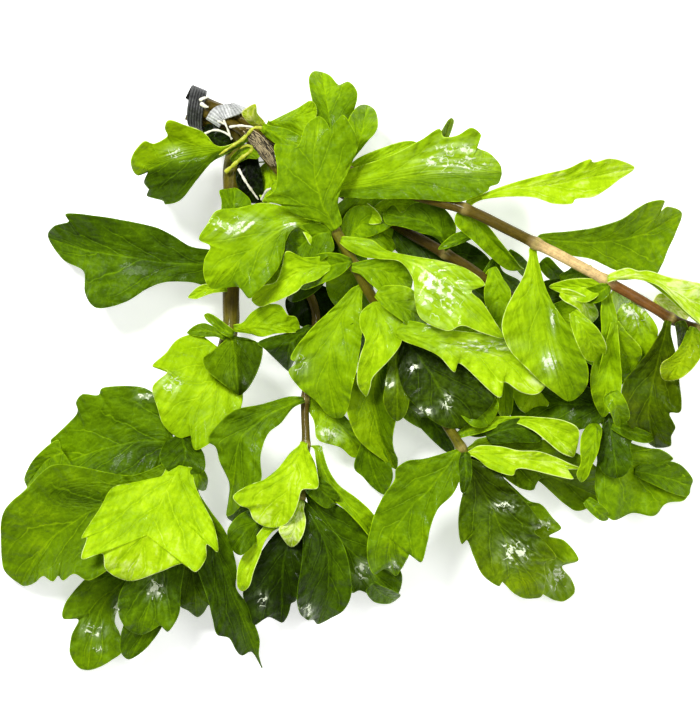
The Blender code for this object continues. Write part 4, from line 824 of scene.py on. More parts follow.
# leaves too small for the CAD part, by the leaf or stem of the heap that they are laid after
smallLeaves = {
    "leaf_left_4": (
        ("small_leaf_1", "stem_left", 0.59, 2, 8, 15, (189, 465, 200, 475, 205, 490),
         (194, 463, 202, 466, 208, 478),
         (188, 474, 194, 484, 200, 490)),),
    "leaf_inner_1": (
        ("small_leaf_2", "stem_inner", 0.43, 3, 4, 20, (297, 505, 255, 522, 232, 548),
         (285, 503, 262, 506, 240, 514, 228, 530),
         (280, 522, 266, 533, 254, 544, 242, 554)),
        ("small_leaf_61", "stem_inner", 0.8, 2, 6, 10, (290, 256, 277, 270, 264, 286),
         (282, 254, 268, 266, 261, 279),
         (291, 266, 284, 278, 272, 289)),
        ("small_leaf_62", "stem_inner", 0.43, 2, 3, 10, (372, 584, 382, 595, 396, 603),
         (382, 586, 394, 592, 401, 597),
         (366, 592, 374, 603, 388, 606)),
        ("small_leaf_67", "stem_inner", 0.46, 2, 4, 10, (252, 500, 240, 510, 232, 524),
         (242, 498, 230, 508, 226, 518),
         (256, 510, 248, 522, 240, 530))),
    "leaf_inner_8": (
        ("small_leaf_3", "stem_inner", 0.97, 3, 8, 25, (301, 503, 297, 520, 291, 547),
         (296, 510, 290, 520, 279, 528, 284, 540),
         (304, 510, 306, 520, 304, 532, 298, 543)),
        ("small_leaf_66", "stem_inner", 0.5, 2, 4, 10, (306, 478, 320, 488, 336, 504),
         (312, 472, 328, 482, 340, 496),
         (304, 488, 312, 498, 326, 508)),
        ("small_leaf_54", "stem_under", 0.5, 1, 1, 10, (636, 472, 666, 478, 695, 488),
         (652, 461, 680, 464, 696, 479),
         (652, 484, 674, 494, 691, 498))),
    "leaf_middle_4": (
        ("small_leaf_4", "stem_middle", 0.48, 2, 3, 20, (392, 338, 378, 390, 368, 450, 384, 496),
         (386, 360, 372, 400, 362, 440, 354, 467, 363, 478, 373, 489),
         (396, 362, 390, 400, 384, 440, 392, 468, 393, 480, 389, 490)),),
    "leaf_under_2": (
        ("small_leaf_5", "stem_under", 0.53, 2, 10, 15, (612, 425, 635, 433, 656, 438),
         (622, 420, 634, 426, 646, 431),
         (622, 436, 634, 441, 647, 443)),
        ("small_leaf_58", "stem_right", 0.89, 2, 6, 10, (610, 292, 621, 300, 632, 318),
         (618, 288, 628, 296, 638, 310),
         (607, 302, 614, 312, 626, 322))),
    "leaf_middle_8": (
        ("small_leaf_6", "stem_under", 0.86, 3, 10, 20, (556, 345, 540, 380, 533, 415),
         (540, 352, 520, 372, 513, 390, 520, 409),
         (556, 358, 556, 378, 553, 398, 545, 411)),),
    "leaf_middle_5": (
        ("small_leaf_7", "stem_middle", 0.49, 3, 10, 25, (395, 345, 397, 385, 397, 421),
         (388, 362, 385, 385, 383, 400, 388, 414),
         (402, 362, 408, 385, 409, 401, 405, 415)),),
    "leaf_inner_6": (
        # a near-black leaf piece that stands for the painted shadow in the hollow
        ("small_leaf_8", "stem_inner", 0.16, 2, 6, 15, (300, 276, 312, 300, 318, 330),
         (298, 284, 285, 300, 290, 318, 305, 328),
         (312, 280, 330, 290, 337, 308, 330, 325)),),
    "leaf_left_9": (
        ("small_leaf_9", "stem_inner", 0.38, 4, 10, 25, (310, 328, 290, 345, 288, 371),
         (295, 331, 270, 337, 258, 343, 266, 350, 277, 361),
         (309, 338, 305, 346, 300, 352, 296, 358, 292, 365)),
        ("small_leaf_10", "stem_left", 0.58, 2, 17, 20, (224, 336, 205, 330, 187, 333),
         (215, 327, 204, 323, 194, 326),
         (216, 337, 206, 337, 195, 336)),
        ("small_leaf_11", "stem_left", 0.58, 2, 18, 20, (233, 335, 220, 327, 204, 315),
         (226, 324, 215, 316, 208, 313),
         (222, 334, 213, 326, 206, 320))),
    "leaf_left_10": (
        ("small_leaf_12", "stem_left", 0.58, 3, 12, 25, (231, 232, 233, 210, 234, 187),
         (224, 225, 221, 212, 221, 200, 219, 190, 228, 188),
         (240, 228, 248, 215, 251, 206, 249, 198, 239, 189)),
        ("small_leaf_13", "stem_left", 0.84, 2, 10, 20, (222, 288, 205, 290, 187, 297),
         (215, 284, 203, 284, 194, 289),
         (213, 293, 204, 296, 195, 299))),
    "leaf_right_4": (
        ("small_leaf_14", "stem_right", 0.86, 3, 18, 15, (352, 168, 385, 155, 416, 142),
         (362, 156, 385, 147, 404, 141),
         (364, 168, 388, 162, 408, 152)),
        ("small_leaf_36", "stem_right", 0.64, 4, 10, 30, (348, 160, 360, 140, 367, 104),
         (346, 142, 348, 122, 357, 107),
         (366, 144, 377, 130, 376, 112))),
    "leaf_under_6": (
        ("small_leaf_15", "stem_right", 0.72, 3, 14, 30, (468, 212, 488, 237, 524, 269),
         (456, 214, 455, 226, 472, 241, 490, 257, 508, 270),
         (475, 216, 487, 227, 498, 240, 510, 254, 521, 267)),
        ("small_leaf_16", "stem_under", 0.73, 3, 14, 25, (492, 268, 500, 290, 498, 320),
         (487, 278, 484, 292, 487, 308),
         (503, 278, 511, 292, 508, 309)),
        ("small_leaf_18", "stem_under", 0.81, 2, 18, 30, (346, 196, 362, 208, 382, 222),
         (352, 196, 366, 202, 378, 212),
         (350, 206, 358, 216, 370, 224)),
        ("small_leaf_32", "stem_under", 0.76, 3, 16, 25, (496, 296, 504, 320, 502, 348),
         (490, 306, 488, 322, 492, 338),
         (508, 304, 515, 320, 511, 340)),
        ("small_leaf_33", "stem_under", 0.55, 2, 20, 20, (480, 232, 460, 239, 438, 249),
         (470, 229, 452, 235),
         (470, 240, 452, 247))),
    "leaf_middle_7": (
        ("small_leaf_17", "stem_under", 0.84, 3, 18, 30, (376, 209, 405, 203, 440, 208),
         (386, 199, 408, 197, 428, 201),
         (386, 214, 406, 212, 428, 213)),),
    "leaf_right_12": (
        ("small_leaf_19", "stem_right", 0.82, 2, 28, 25, (600, 286, 578, 288, 548, 287),
         (594, 280, 578, 279, 562, 281),
         (592, 299, 580, 303, 562, 295)),
        ("small_leaf_40", "stem_right", 0.55, 2, 24, 20, (604, 288, 590, 296, 572, 296),
         (598, 284, 586, 288, 577, 290),
         (604, 298, 592, 304, 578, 302)),
        ("small_leaf_51", "stem_right", 0.57, 2, 14, 10, (590, 270, 578, 273, 560, 276),
         (582, 266, 573, 266, 568, 270),
         (592, 278, 580, 282, 566, 284)),
        ("small_leaf_69", "stem_right", 0.8, 2, 17, 15, (272, 186, 284, 189, 298, 193),
         (276, 180, 288, 182, 297, 186),
         (272, 193, 284, 197, 295, 199)),
        # paler than its own olive: painted light to make up for the shade that it lies in
        ("small_leaf_46", "stem_right", 0.95, 1, 12, 10, (652, 300, 668, 306, 690, 317),
         (660, 294, 674, 299, 691, 310),
         (655, 308, 665, 315, 683, 322))),
    "stem_inner": (
        # near-black leaf pieces that stand for painted shadow between the stems by the tie
        ("small_leaf_20", "stem_inner", 0.1, 2, 6, 10, (246, 152, 246, 175, 253, 202),
         (239, 156, 235, 178, 243, 197),
         (256, 156, 262, 176, 262, 196)),
        ("small_leaf_57", "stem_inner", 0.1, 2, 4, 6, (202, 130, 214, 137, 231, 146),
         (207, 122, 218, 126, 231, 134),
         (206, 138, 214, 148, 226, 152))),
    "stem_left": (
        ("small_leaf_21", "stem_left", 0.4, 2, 20, 20, (181, 436, 186, 455, 178, 474),
         (167, 440, 160, 456, 166, 468),
         (196, 442, 205, 456, 203, 472)),),
    "leaf_left_12": (
        ("small_leaf_22", "stem_under", 0.31, 2, 6, 10, (384, 216, 440, 256, 522, 300),
         (398, 208, 440, 228, 482, 250, 502, 276),
         (384, 236, 420, 272, 468, 300, 504, 308)),
        ("small_leaf_23", "stem_under", 0.3, 2, 6, 10, (604, 285, 575, 300, 548, 330),
         (592, 276, 562, 278, 540, 284, 538, 308),
         (606, 300, 603, 325, 598, 350, 575, 352)),
        ("small_leaf_24", "stem_middle", 0.36, 2, 8, 10, (342, 238, 312, 252, 284, 284),
         (326, 224, 302, 228, 286, 244),
         (338, 262, 318, 290, 292, 302)),
        ("small_leaf_25", "stem_middle", 0.62, 2, 10, 15, (345, 245, 362, 225, 396, 240),
         (342, 222, 356, 206, 384, 212),
         (356, 252, 372, 256, 392, 252)),
        ("small_leaf_38", "stem_inner", 0.81, 2, 12, 20, (268, 160, 268, 180, 265, 204),
         (259, 166, 254, 180, 259, 195),
         (277, 166, 279, 182, 273, 198)),
        ("small_leaf_42", "stem_middle", 0.59, 2, 8, 10, (332, 226, 360, 212, 402, 204),
         (336, 206, 360, 192, 388, 192),
         (346, 240, 372, 236, 396, 222)),
        ("small_leaf_43", "stem_middle", 0.65, 2, 8, 10, (356, 266, 345, 285, 350, 314),
         (340, 262, 326, 280, 332, 302),
         (372, 280, 372, 300, 362, 314)),
        ("small_leaf_63", "stem_middle", 0.64, 2, 10, 10, (326, 228, 344, 246, 366, 264),
         (332, 226, 352, 238, 366, 254),
         (324, 236, 338, 256, 356, 268)),
        ("small_leaf_64", "stem_middle", 0.52, 2, 8, 10, (312, 214, 294, 232, 276, 258),
         (302, 208, 280, 224, 268, 244),
         (322, 228, 306, 246, 290, 264))),
    "leaf_under_1": (
        ("small_leaf_26", "stem_under", 0.42, 3, 6, 20, (606, 404, 562, 404, 508, 398),
         (592, 388, 558, 384, 528, 384),
         (600, 424, 560, 432, 520, 426)),
        ("small_leaf_27", "stem_under", 0.24, 2, 6, 10, (590, 345, 572, 375, 548, 400),
         (610, 355, 612, 380, 598, 402),
         (568, 352, 545, 372, 540, 392)),
        ("small_leaf_52", "stem_under", 0.37, 2, 6, 10, (424, 414, 438, 428, 454, 452),
         (434, 412, 450, 422, 460, 438),
         (418, 424, 430, 438, 446, 452)),
        ("small_leaf_53", "stem_under", 0.36, 2, 8, 10, (486, 436, 512, 428, 544, 430),
         (494, 426, 514, 418, 536, 420),
         (494, 444, 516, 442, 538, 442)),
        ("small_leaf_59", "stem_under", 0.72, 2, 6, 10, (502, 352, 505, 384, 506, 418),
         (511, 356, 514, 384, 513, 412),
         (493, 360, 497, 386, 499, 412)),
        ("small_leaf_75", "stem_under", 0.56, 2, 6, 10, (586, 500, 596, 510, 608, 520),
         (592, 498, 603, 506, 609, 513),
         (586, 508, 594, 516, 602, 521)),
        ("small_leaf_50", "stem_under", 0.52, 2, 4, 10, (543, 260, 555, 271, 568, 281),
         (550, 257, 560, 267, 571, 277),
         (539, 266, 548, 277, 562, 284)),
        ("small_leaf_65", "stem_under", 0.52, 2, 4, 10, (508, 252, 518, 260, 530, 272),
         (514, 250, 524, 257, 532, 266),
         (506, 258, 514, 266, 526, 277)),
        ("small_leaf_74", "stem_under", 0.44, 2, 4, 10, (495, 258, 500, 273, 520, 288),
         (499, 259, 504, 271, 521, 280),
         (489, 266, 496, 280, 514, 294)),
        # paler than its own green: painted light to make up for the shade deep in the heap
        ("small_leaf_72", "stem_under", 0.85, 2, 4, 10, (440, 326, 470, 330, 502, 336),
         (446, 316, 472, 319, 500, 328),
         (446, 334, 470, 341, 497, 344))),
    "leaf_right_2": (
        ("small_leaf_28", "stem_right", 0.75, 3, 10, 20, (612, 322, 618, 355, 606, 393),
         (624, 332, 640, 352, 628, 376),
         (604, 340, 598, 366, 596, 386)),),
    "stem_middle": (
        ("small_leaf_29", "stem_middle", 0.29, 3, 16, 10, (402, 336, 432, 376, 458, 428),
         (426, 334, 452, 346, 477, 370, 494, 396, 480, 416),
         (399, 350, 398, 372, 404, 392, 418, 408, 438, 424)),
        ("small_leaf_30", "stem_middle", 0.58, 3, 22, 25, (438, 372, 468, 396, 488, 425),
         (458, 374, 482, 385, 498, 404),
         (442, 392, 456, 410, 472, 426))),
    "leaf_middle_10": (
        ("small_leaf_31", "stem_middle", 0.72, 3, 22, 20, (376, 294, 400, 306, 428, 322),
         (386, 286, 408, 288, 424, 304),
         (384, 308, 400, 320, 414, 328)),
        ("small_leaf_44", "stem_middle", 0.53, 3, 16, 20, (330, 232, 306, 240, 288, 262),
         (318, 224, 300, 226, 288, 240),
         (334, 250, 320, 262, 298, 270)),
        ("small_leaf_45", "stem_middle", 0.61, 3, 16, 20, (350, 262, 326, 268, 296, 282),
         (338, 254, 320, 254, 304, 262),
         (340, 276, 322, 284, 304, 290))),
    "leaf_right_3": (
        ("small_leaf_34", "stem_right", 0.8, 3, 24, 30, (570, 312, 584, 334, 598, 360),
         (579, 314, 595, 330, 604, 348),
         (568, 326, 574, 344, 584, 360)),),
    "leaf_under_4": (
        ("small_leaf_35", "stem_right", 0.96, 3, 26, 30, (558, 293, 578, 300, 592, 322),
         (570, 291, 588, 300, 597, 314),
         (562, 302, 576, 310, 586, 324)),),
    "leaf_right_5": (
        ("small_leaf_37", "stem_right", 0.61, 2, 14, 20, (262, 126, 282, 138, 304, 147),
         (270, 125, 287, 129, 303, 138),
         (267, 137, 281, 147, 296, 152)),
        ("small_leaf_41", "stem_right", 0.48, 1, 18, 10, (438, 152, 445, 137, 452, 118),
         (434, 148, 440, 134, 448, 120),
         (442, 150, 449, 137, 454, 122)),
        ("small_leaf_48", "stem_right", 0.97, 2, 17, 25, (262, 128, 252, 119, 243, 110),
         (264, 120, 257, 112, 255, 103),
         (256, 127, 248, 122, 242, 115))),
    "leaf_middle_13": (
        ("small_leaf_39", "stem_middle", 0.91, 2, 24, 20, (302, 214, 312, 230, 318, 249),
         (310, 214, 322, 226, 325, 242),
         (297, 222, 305, 236, 311, 246)),),
    "stem_right": (
        ("small_leaf_47", "stem_left", 0.64, 2, 17, 30, (232, 160, 242, 152, 262, 148),
         (236, 150, 246, 144, 256, 146),
         (238, 162, 248, 158, 258, 158)),
        ("small_leaf_49", "stem_right", 0.84, 3, 28, 15, (612, 278, 640, 279, 674, 292, 701, 306),
         (620, 276, 642, 275, 684, 284, 700, 292),
         (620, 281, 644, 283, 678, 310, 699, 325)),
        ("small_leaf_71", "stem_right", 0.37, 2, 17, 15, (676, 322, 680, 336, 681, 352),
         (682, 322, 687, 336, 685, 350),
         (671, 324, 674, 336, 678, 350))),
    "leaf_middle_3": (
        ("small_leaf_55", "stem_middle", 0.5, 2, 6, 10, (396, 396, 412, 410, 434, 430),
         (404, 392, 422, 402, 440, 418),
         (394, 406, 406, 420, 424, 430)),
        ("small_leaf_73", "stem_middle", 0.5, 1, 3, 10, (306, 222, 292, 238, 278, 262),
         (298, 214, 280, 228, 268, 248),
         (316, 234, 302, 250, 288, 268)),
        ("small_leaf_70", "stem_middle", 0.4, 2, 4, 10, (464, 452, 465, 472, 463, 492),
         (470, 456, 471, 474, 467, 488),
         (458, 460, 458, 476, 460, 490)),
        ("small_leaf_68", "stem_middle", 0.46, 0.5, 1, 10, (358, 322, 360, 340, 361, 362),
         (366, 322, 369, 340, 368, 358),
         (350, 326, 352, 342, 353, 360))),
    "leaf_left_6": (
        ("small_leaf_56", "stem_left", 0.62, 2, 5, 10, (62, 452, 44, 462, 24, 488),
         (56, 440, 34, 458, 22, 478),
         (72, 470, 52, 484, 26, 495)),),
    "leaf_right_1": (
        ("small_leaf_60", "stem_right", 0.62, 2, 6, 10, (606, 392, 614, 408, 620, 424),
         (616, 390, 624, 404, 628, 418),
         (600, 400, 608, 414, 614, 426)),),
}


# Laying the leaves, as in the CAD part

# the coarse solid under each leaf, in mm; "veinSweep" and "rowSpacing" place its rows
leafForm = {"halfThickness": 0.55, "petiole": 1.2, "veinSweep": 0.6, "rowSpacing": 0.025}

# the heap's height grid in mm, the gap kept under a leaf, how far along it a lift spreads,
# and how many steps a row or a column is split into
laying = {"low": (-120.0, -110.0), "shape": (250, 210), "cell": 1.0, "gap": 0.7, "smallGap": 0.3,
          "smallThickness": 0.2, "bend": 0.5, "clearance": 0.35, "stemStep": 4.5,
          "rowSteps": 8, "layColumns": 12, "markColumns": 24, "stemColumns": 2}


def readLeaf(entry):
    # an entry by its fields, its three lines in millimetres
    leaf = dict(zip(leafFields, entry))
    for part in ("midrib", "oneEdge", "otherEdge"):
        leaf[part] = toTable(np.reshape(leaf[part], (-1, 2)))
    return leaf


def leafBase(leaf, lines, radii, over):
    # start of the midrib, as high as the skin of the stem under or over it
    start = leaf["midrib"][0]
    line = smoothRoute(lines[leaf["stem"]], 0.5)
    apart = np.linalg.norm(line[:, :2] - start, axis=1)
    nearest = int(np.argmin(apart))
    here = radii[leaf["stem"]]
    radius = np.interp(nearest / len(line), np.linspace(0, 1, len(here)), here)
    reach = radius + laying["clearance"] + leafForm["halfThickness"]
    height = math.sqrt(max(0.0, reach**2 - apart[nearest] ** 2))
    return np.array([*start, line[nearest, 2] + (height if over else -height)]), line[nearest]


def leafMidrib(leaf, base):
    # curve through the midrib's points; its height runs from base to tip with an even bow
    plan = leaf["midrib"]
    line = smoothRoute(np.column_stack((plan, np.zeros(len(plan)))), 1.0)
    share = runOf(line) / runOf(line)[-1]
    bow = 3 * leaf["rise"] * share * (1 - share)
    line[:, 2] = base[2] + (leaf["tipHeight"] - base[2]) * share + bow
    return line, share


def rowShares(edges, line, share):
    # each row leaves the midrib a little below its edge points, ever nearer the tip
    length = runOf(line[:, :2])[-1]
    apart = np.linalg.norm(edges[:, :, None] - line[None, None, :, :2], axis=-1)
    level = share[apart.argmin(axis=-1)] - leafForm["veinSweep"] * apart.min(axis=-1) / length
    rows = np.maximum.accumulate(np.clip(level.mean(axis=0), 0, 1))
    count = len(rows)
    rows = np.maximum(rows, leafForm["rowSpacing"] * np.arange(1, count + 1))
    return np.minimum(rows, 1 - leafForm["rowSpacing"] * np.arange(count, 0, -1))


def leafRows(leaf, base):
    # rows of three points: one edge, the midrib, the other edge; an edge is higher by the
    # square of its distance from the midrib
    line, share = leafMidrib(leaf, base)
    edges = np.array([leaf["oneEdge"], leaf["otherEdge"]])
    rows = np.concatenate(([0], rowShares(edges, line, share), [1]))
    way = unit(line[1, :2] - line[0, :2])
    petiole = np.array([way[1], -way[0]]) * leafForm["petiole"]
    if np.dot(petiole, edges[0, 0] - line[0, :2]) < 0:
        petiole = -petiole
    one = np.vstack((base[:2] + petiole, edges[0], line[-1, :2]))
    other = np.vstack((base[:2] - petiole, edges[1], line[-1, :2]))
    middle = np.stack([np.interp(rows, share, line[:, axis]) for axis in range(3)], axis=1)
    steep = math.tan(math.radians(leaf["cup"]))
    surface = []
    for edge in (one, middle[:, :2], other):
        apart = np.linalg.norm(edge - middle[:, :2], axis=1)
        widest = max(apart.max(), leafForm["petiole"])
        surface.append(np.column_stack((edge, middle[:, 2] + steep * apart**2 / (2 * widest))))
    return np.stack(surface, axis=1), rows


def refine(values, stepsDown, stepsAcross):
    # a coarse grid filled in with straight steps, down its rows and then across them
    for axis, steps in enumerate((stepsDown, stepsAcross)):
        values = np.moveaxis(values, axis, 0)
        places = np.arange((len(values) - 1) * steps + 1) / steps
        low = np.minimum(places.astype(int), len(values) - 2)
        share = (places - low).reshape(-1, *[1] * (values.ndim - 1))
        values = values[low] * (1 - share) + values[low + 1] * share
        values = np.moveaxis(values, 0, axis)
    return values


def heapCells(points):
    # cells of the heap's height grid under the points
    cells = ((points[..., :2] - laying["low"]) / laying["cell"]).astype(int)
    return cells[..., 0], cells[..., 1]


def layLeaf(surface, rows, heap, gap, halfThickness):
    # rows are lifted by what each lacks to clear the heap, spread by a cosine bell
    steps = laying["rowSteps"]
    fine = refine(surface, steps, laying["layColumns"])
    thick = halfThickness * (1 - np.abs(np.linspace(-1, 1, fine.shape[1])))
    need = (heap[heapCells(fine)] + gap - (fine[..., 2] - thick)).max(axis=1)
    starts = np.arange(len(rows)) * steps
    lack = np.array([need[max(0, start - steps): start + steps + 1].max() for start in starts])
    apart = np.abs(rows[:, None] - rows[None, :]) / laying["bend"]
    bell = np.where(apart < 1, 0.5 + 0.5 * np.cos(math.pi * np.clip(apart, 0, 1)), 0)
    surface = surface.copy()
    surface[..., 2] += (bell * np.clip(lack, 0, None)[None, :]).max(axis=1)[:, None]
    return surface


def markLeaf(heap, surface):
    # the heap rises to the top of a laid leaf
    fine = refine(surface, laying["rowSteps"], laying["markColumns"])
    thick = leafForm["halfThickness"] * (1 - np.abs(np.linspace(-1, 1, fine.shape[1])))
    np.maximum.at(heap, heapCells(fine), fine[..., 2] + thick[None, :])


def markStem(heap, line, radii):
    # the heap rises to the top of a stem
    side = frames(line)[1]
    across = np.linspace(-1, 1, 9)
    steps = laying["rowSteps"], laying["stemColumns"]
    flat = line[:, None] + radii[:, None, None] * across[None, :, None] * side[:, None]
    fine = refine(flat, *steps)
    top = refine(radii[:, None] * np.sqrt(1 - across**2)[None, :], *steps)
    np.maximum.at(heap, heapCells(fine), fine[..., 2] + top)


# Looks of single leaves

# painted light and shade added to a leaf's tone at its base, at its tip, and on the side of its
# first and of its second edge (partly also the leaf's own colour), and how brown it is; "plain"
# holds for every leaf that doesn't say otherwise
leafShadesAndTints = {
    "plain": {"base": -0.04, "tip": 0.03, "one": 0.0, "other": 0.0, "brown": 0.0},
    "leaf_left_1": {"base": -0.06, "tip": 0.02, "brown": 0.05},
    "leaf_left_3": {"brown": 0.15},
    "leaf_left_4": {"base": 0.08, "tip": 0.02, "one": 0.05, "other": -0.04},
    "leaf_left_5": {"base": -0.12, "tip": 0.05},
    "leaf_left_6": {"base": -0.04, "tip": 0.04, "one": 0.03, "other": -0.04},
    "leaf_left_7": {"base": 0.02, "tip": 0.06, "brown": 0.1},
    "leaf_left_8": {"base": 0.03, "tip": -0.02, "one": 0.02, "other": -0.02},
    "leaf_left_9": {"base": 0.1, "tip": -0.08, "one": 0.06, "other": -0.14, "brown": 0.15},
    "leaf_left_10": {"base": 0.06, "tip": 0.1, "one": -0.03, "other": 0.02},
    "leaf_inner_3": {"one": 0.06, "other": -0.04},
    "leaf_inner_5": {"one": -0.12, "other": 0.05},
    "leaf_inner_7": {"base": -0.02, "tip": 0.04},
    "leaf_middle_1": {"base": -0.2, "tip": 0.06, "brown": 0.15},
    "leaf_middle_2": {"base": 0.04, "tip": 0.0, "brown": 0.25},
    "leaf_middle_3": {"base": -0.1, "tip": 0.12, "one": 0.04, "other": -0.04, "brown": 0.35},
    "leaf_middle_4": {"brown": 0.15},
    "leaf_middle_5": {"one": 0.06, "other": -0.14, "brown": 0.1},
    "leaf_middle_6": {"base": 0.06, "tip": -0.02},
    "leaf_middle_8": {"base": -0.3, "tip": 0.05},
    "leaf_middle_12": {"base": -0.12, "tip": 0.02},
    "leaf_middle_13": {"base": -0.08, "tip": 0.04},
    "leaf_middle_14": {"base": 0.04, "tip": -0.02, "one": 0.04, "other": -0.09},
    "leaf_middle_15": {"base": -0.05, "tip": -0.06},
    "leaf_right_1": {"brown": 0.55},
    "leaf_right_3": {"base": 0.08, "tip": -0.05, "one": 0.03, "other": -0.05},
    "leaf_right_4": {"base": -0.25, "tip": 0.16},
    "leaf_right_5": {"base": -0.15, "tip": 0.14, "one": 0.06},
    "leaf_right_6": {"base": -0.02, "tip": 0.04, "one": 0.08, "other": -0.13},
    "leaf_right_8": {"base": -0.08, "tip": 0.1, "one": 0.02, "brown": 0.1},
    "leaf_right_9": {"base": 0.12, "tip": -0.04, "one": 0.12, "other": -0.3, "brown": 0.1},
    "leaf_right_11": {"base": -0.22, "tip": 0.1, "brown": 0.35},
    "small_leaf_7": {"brown": 0.35},
    "small_leaf_29": {"base": -0.1, "tip": 0.08, "brown": 0.25},
    "small_leaf_41": {"brown": 0.3},
    "small_leaf_47": {"brown": 0.2},
    "small_leaf_48": {"brown": 0.6},
    "small_leaf_71": {"brown": 0.6},
    "small_leaf_46": {"brown": 0.3}}

# painted light and shade over the heap: soft spots by plan place, half sizes and what they add to
# the tone there
lightAndShadeSpots = (
    (80, 495, 30, 10, -0.16), (35, 545, 30, 22, 0.05), (245, 170, 10, 18, -0.10),
    (500, 485, 28, 32, -0.09), (518, 585, 26, 14, 0.10), (150, 450, 30, 16, -0.08),
    (190, 590, 22, 20, -0.05))

# wet spots with painted glints: plan place and half sizes; there the coat is glossy and highlights
# are painted into the colour
wetGlintSpots = (
    (232, 226, 26, 9), (455, 160, 34, 14), (440, 295, 22, 24), (475, 346, 30, 6), (548, 362, 8, 10),
    (515, 552, 15, 12), (560, 580, 13, 13), (330, 436, 12, 8), (172, 384, 10, 9), (146, 396, 9, 6),
    (175, 152, 9, 5), (633, 312, 14, 14), (92, 632, 12, 7), (115, 612, 4, 11), (155, 590, 9, 11),
    (552, 318, 3, 14), (300, 365, 7, 10), (505, 506, 12, 5), (98, 652, 8, 3), (545, 525, 10, 6),
    (413, 367, 6, 4), (389, 383, 5, 5), (446, 402, 6, 8), (424, 411, 9, 4), (290, 225, 6, 5),
    (128, 160, 4, 6), (363, 572, 8, 9), (394, 566, 6, 5), (306, 611, 9, 7), (262, 600, 5, 8))


def spotMask(points, x, y, wide, high):
    # e to the minus square of the distance in half sizes: 1 in the middle of an oval in the plan
    place = points[..., :2] / sheet["step"] * (1, -1) + sheet["middle"]
    apart = ((place[..., 0] - x) / wide) ** 2 + ((place[..., 1] - y) / high) ** 2
    return np.exp(-apart)


def paintedLightAndShade(points):
    # painted light and shade: what the soft spots add to the tone
    return sum(spotMask(points, *spot[:4]) * spot[4] for spot in lightAndShadeSpots)


def wetGlintMask(points):
    # 1 where it is wettest and the painted glints are strongest, the sum of the wet spots
    return np.clip(sum(spotMask(points, *spot) for spot in wetGlintSpots), 0, 1)


def shadeOf(tint, along, across):
    # painted light and shade from the tints: squares of the distance from the far end, and of the
    # distance from the midrib
    ends = tint["base"] * (1 - along) ** 2 + tint["tip"] * along**2
    sides = np.where(across < 0, tint["one"], tint["other"])
    return ends + sides * np.minimum(1, np.abs(across) * 3)


# The finish of the leaves

# "scale" is the tone from black green to pale lime; "patches" are noise by the size of its lumps
# in mm, its detail and its weight in the tone; "veins" and "twigs" are counted along a leaf, and
# "midVein" and the widths of rim and inside are in mm, from full to none; "net" to "inside" say
# how much each counts in the tone, where the groove beside a vein is painted shade and the pleats
# are painted light and shade; "glint" and "sheen" paint highlights into the colour, and "film" to
# "gaps" are the noise of the painted glints in the wet places
leafPaint = {
    "scale": ((0.0, (0.0015, 0.003, 0.0003)), (0.24, (0.017, 0.037, 0.0004)),
              (0.41, (0.054, 0.113, 0.0006)), (0.59, (0.128, 0.244, 0.001)),
              (0.80, (0.289, 0.483, 0.002)), (0.90, (0.412, 0.633, 0.006)),
              (0.96, (0.53, 0.71, 0.09)), (1.0, (0.66, 0.80, 0.26))),
    "patches": ((13.0, 3.0, 0.28), (9.0, 2.0, 0.16), (3.2, 3.0, 0.10), (1.1, 4.0, 0.12)),
    "veins": 4.4, "twigs": 11.0, "veinWidth": 0.10, "midVein": (0.15, 0.55),
    "veinStep": (0.03, 0.10), "netSize": 2.3, "netWidth": 0.12, "rimWidth": (0.04, 0.30),
    "insideWidth": (0.3, 1.8), "net": 0.35, "grooveShade": 0.055, "pleats": 0.26, "rim": 0.16,
    "inside": 0.03,
    "brown": (1.0, 0.62, 0.5), "glint": (0.80, 0.88, 0.62), "sheen": 0.36,
    "film": (1.5, 5.0), "rings": (5.5, 2.0), "gaps": (3.1, 1.0),
    "gloss": 0.34, "coat": 0.03, "bump": 0.0004}


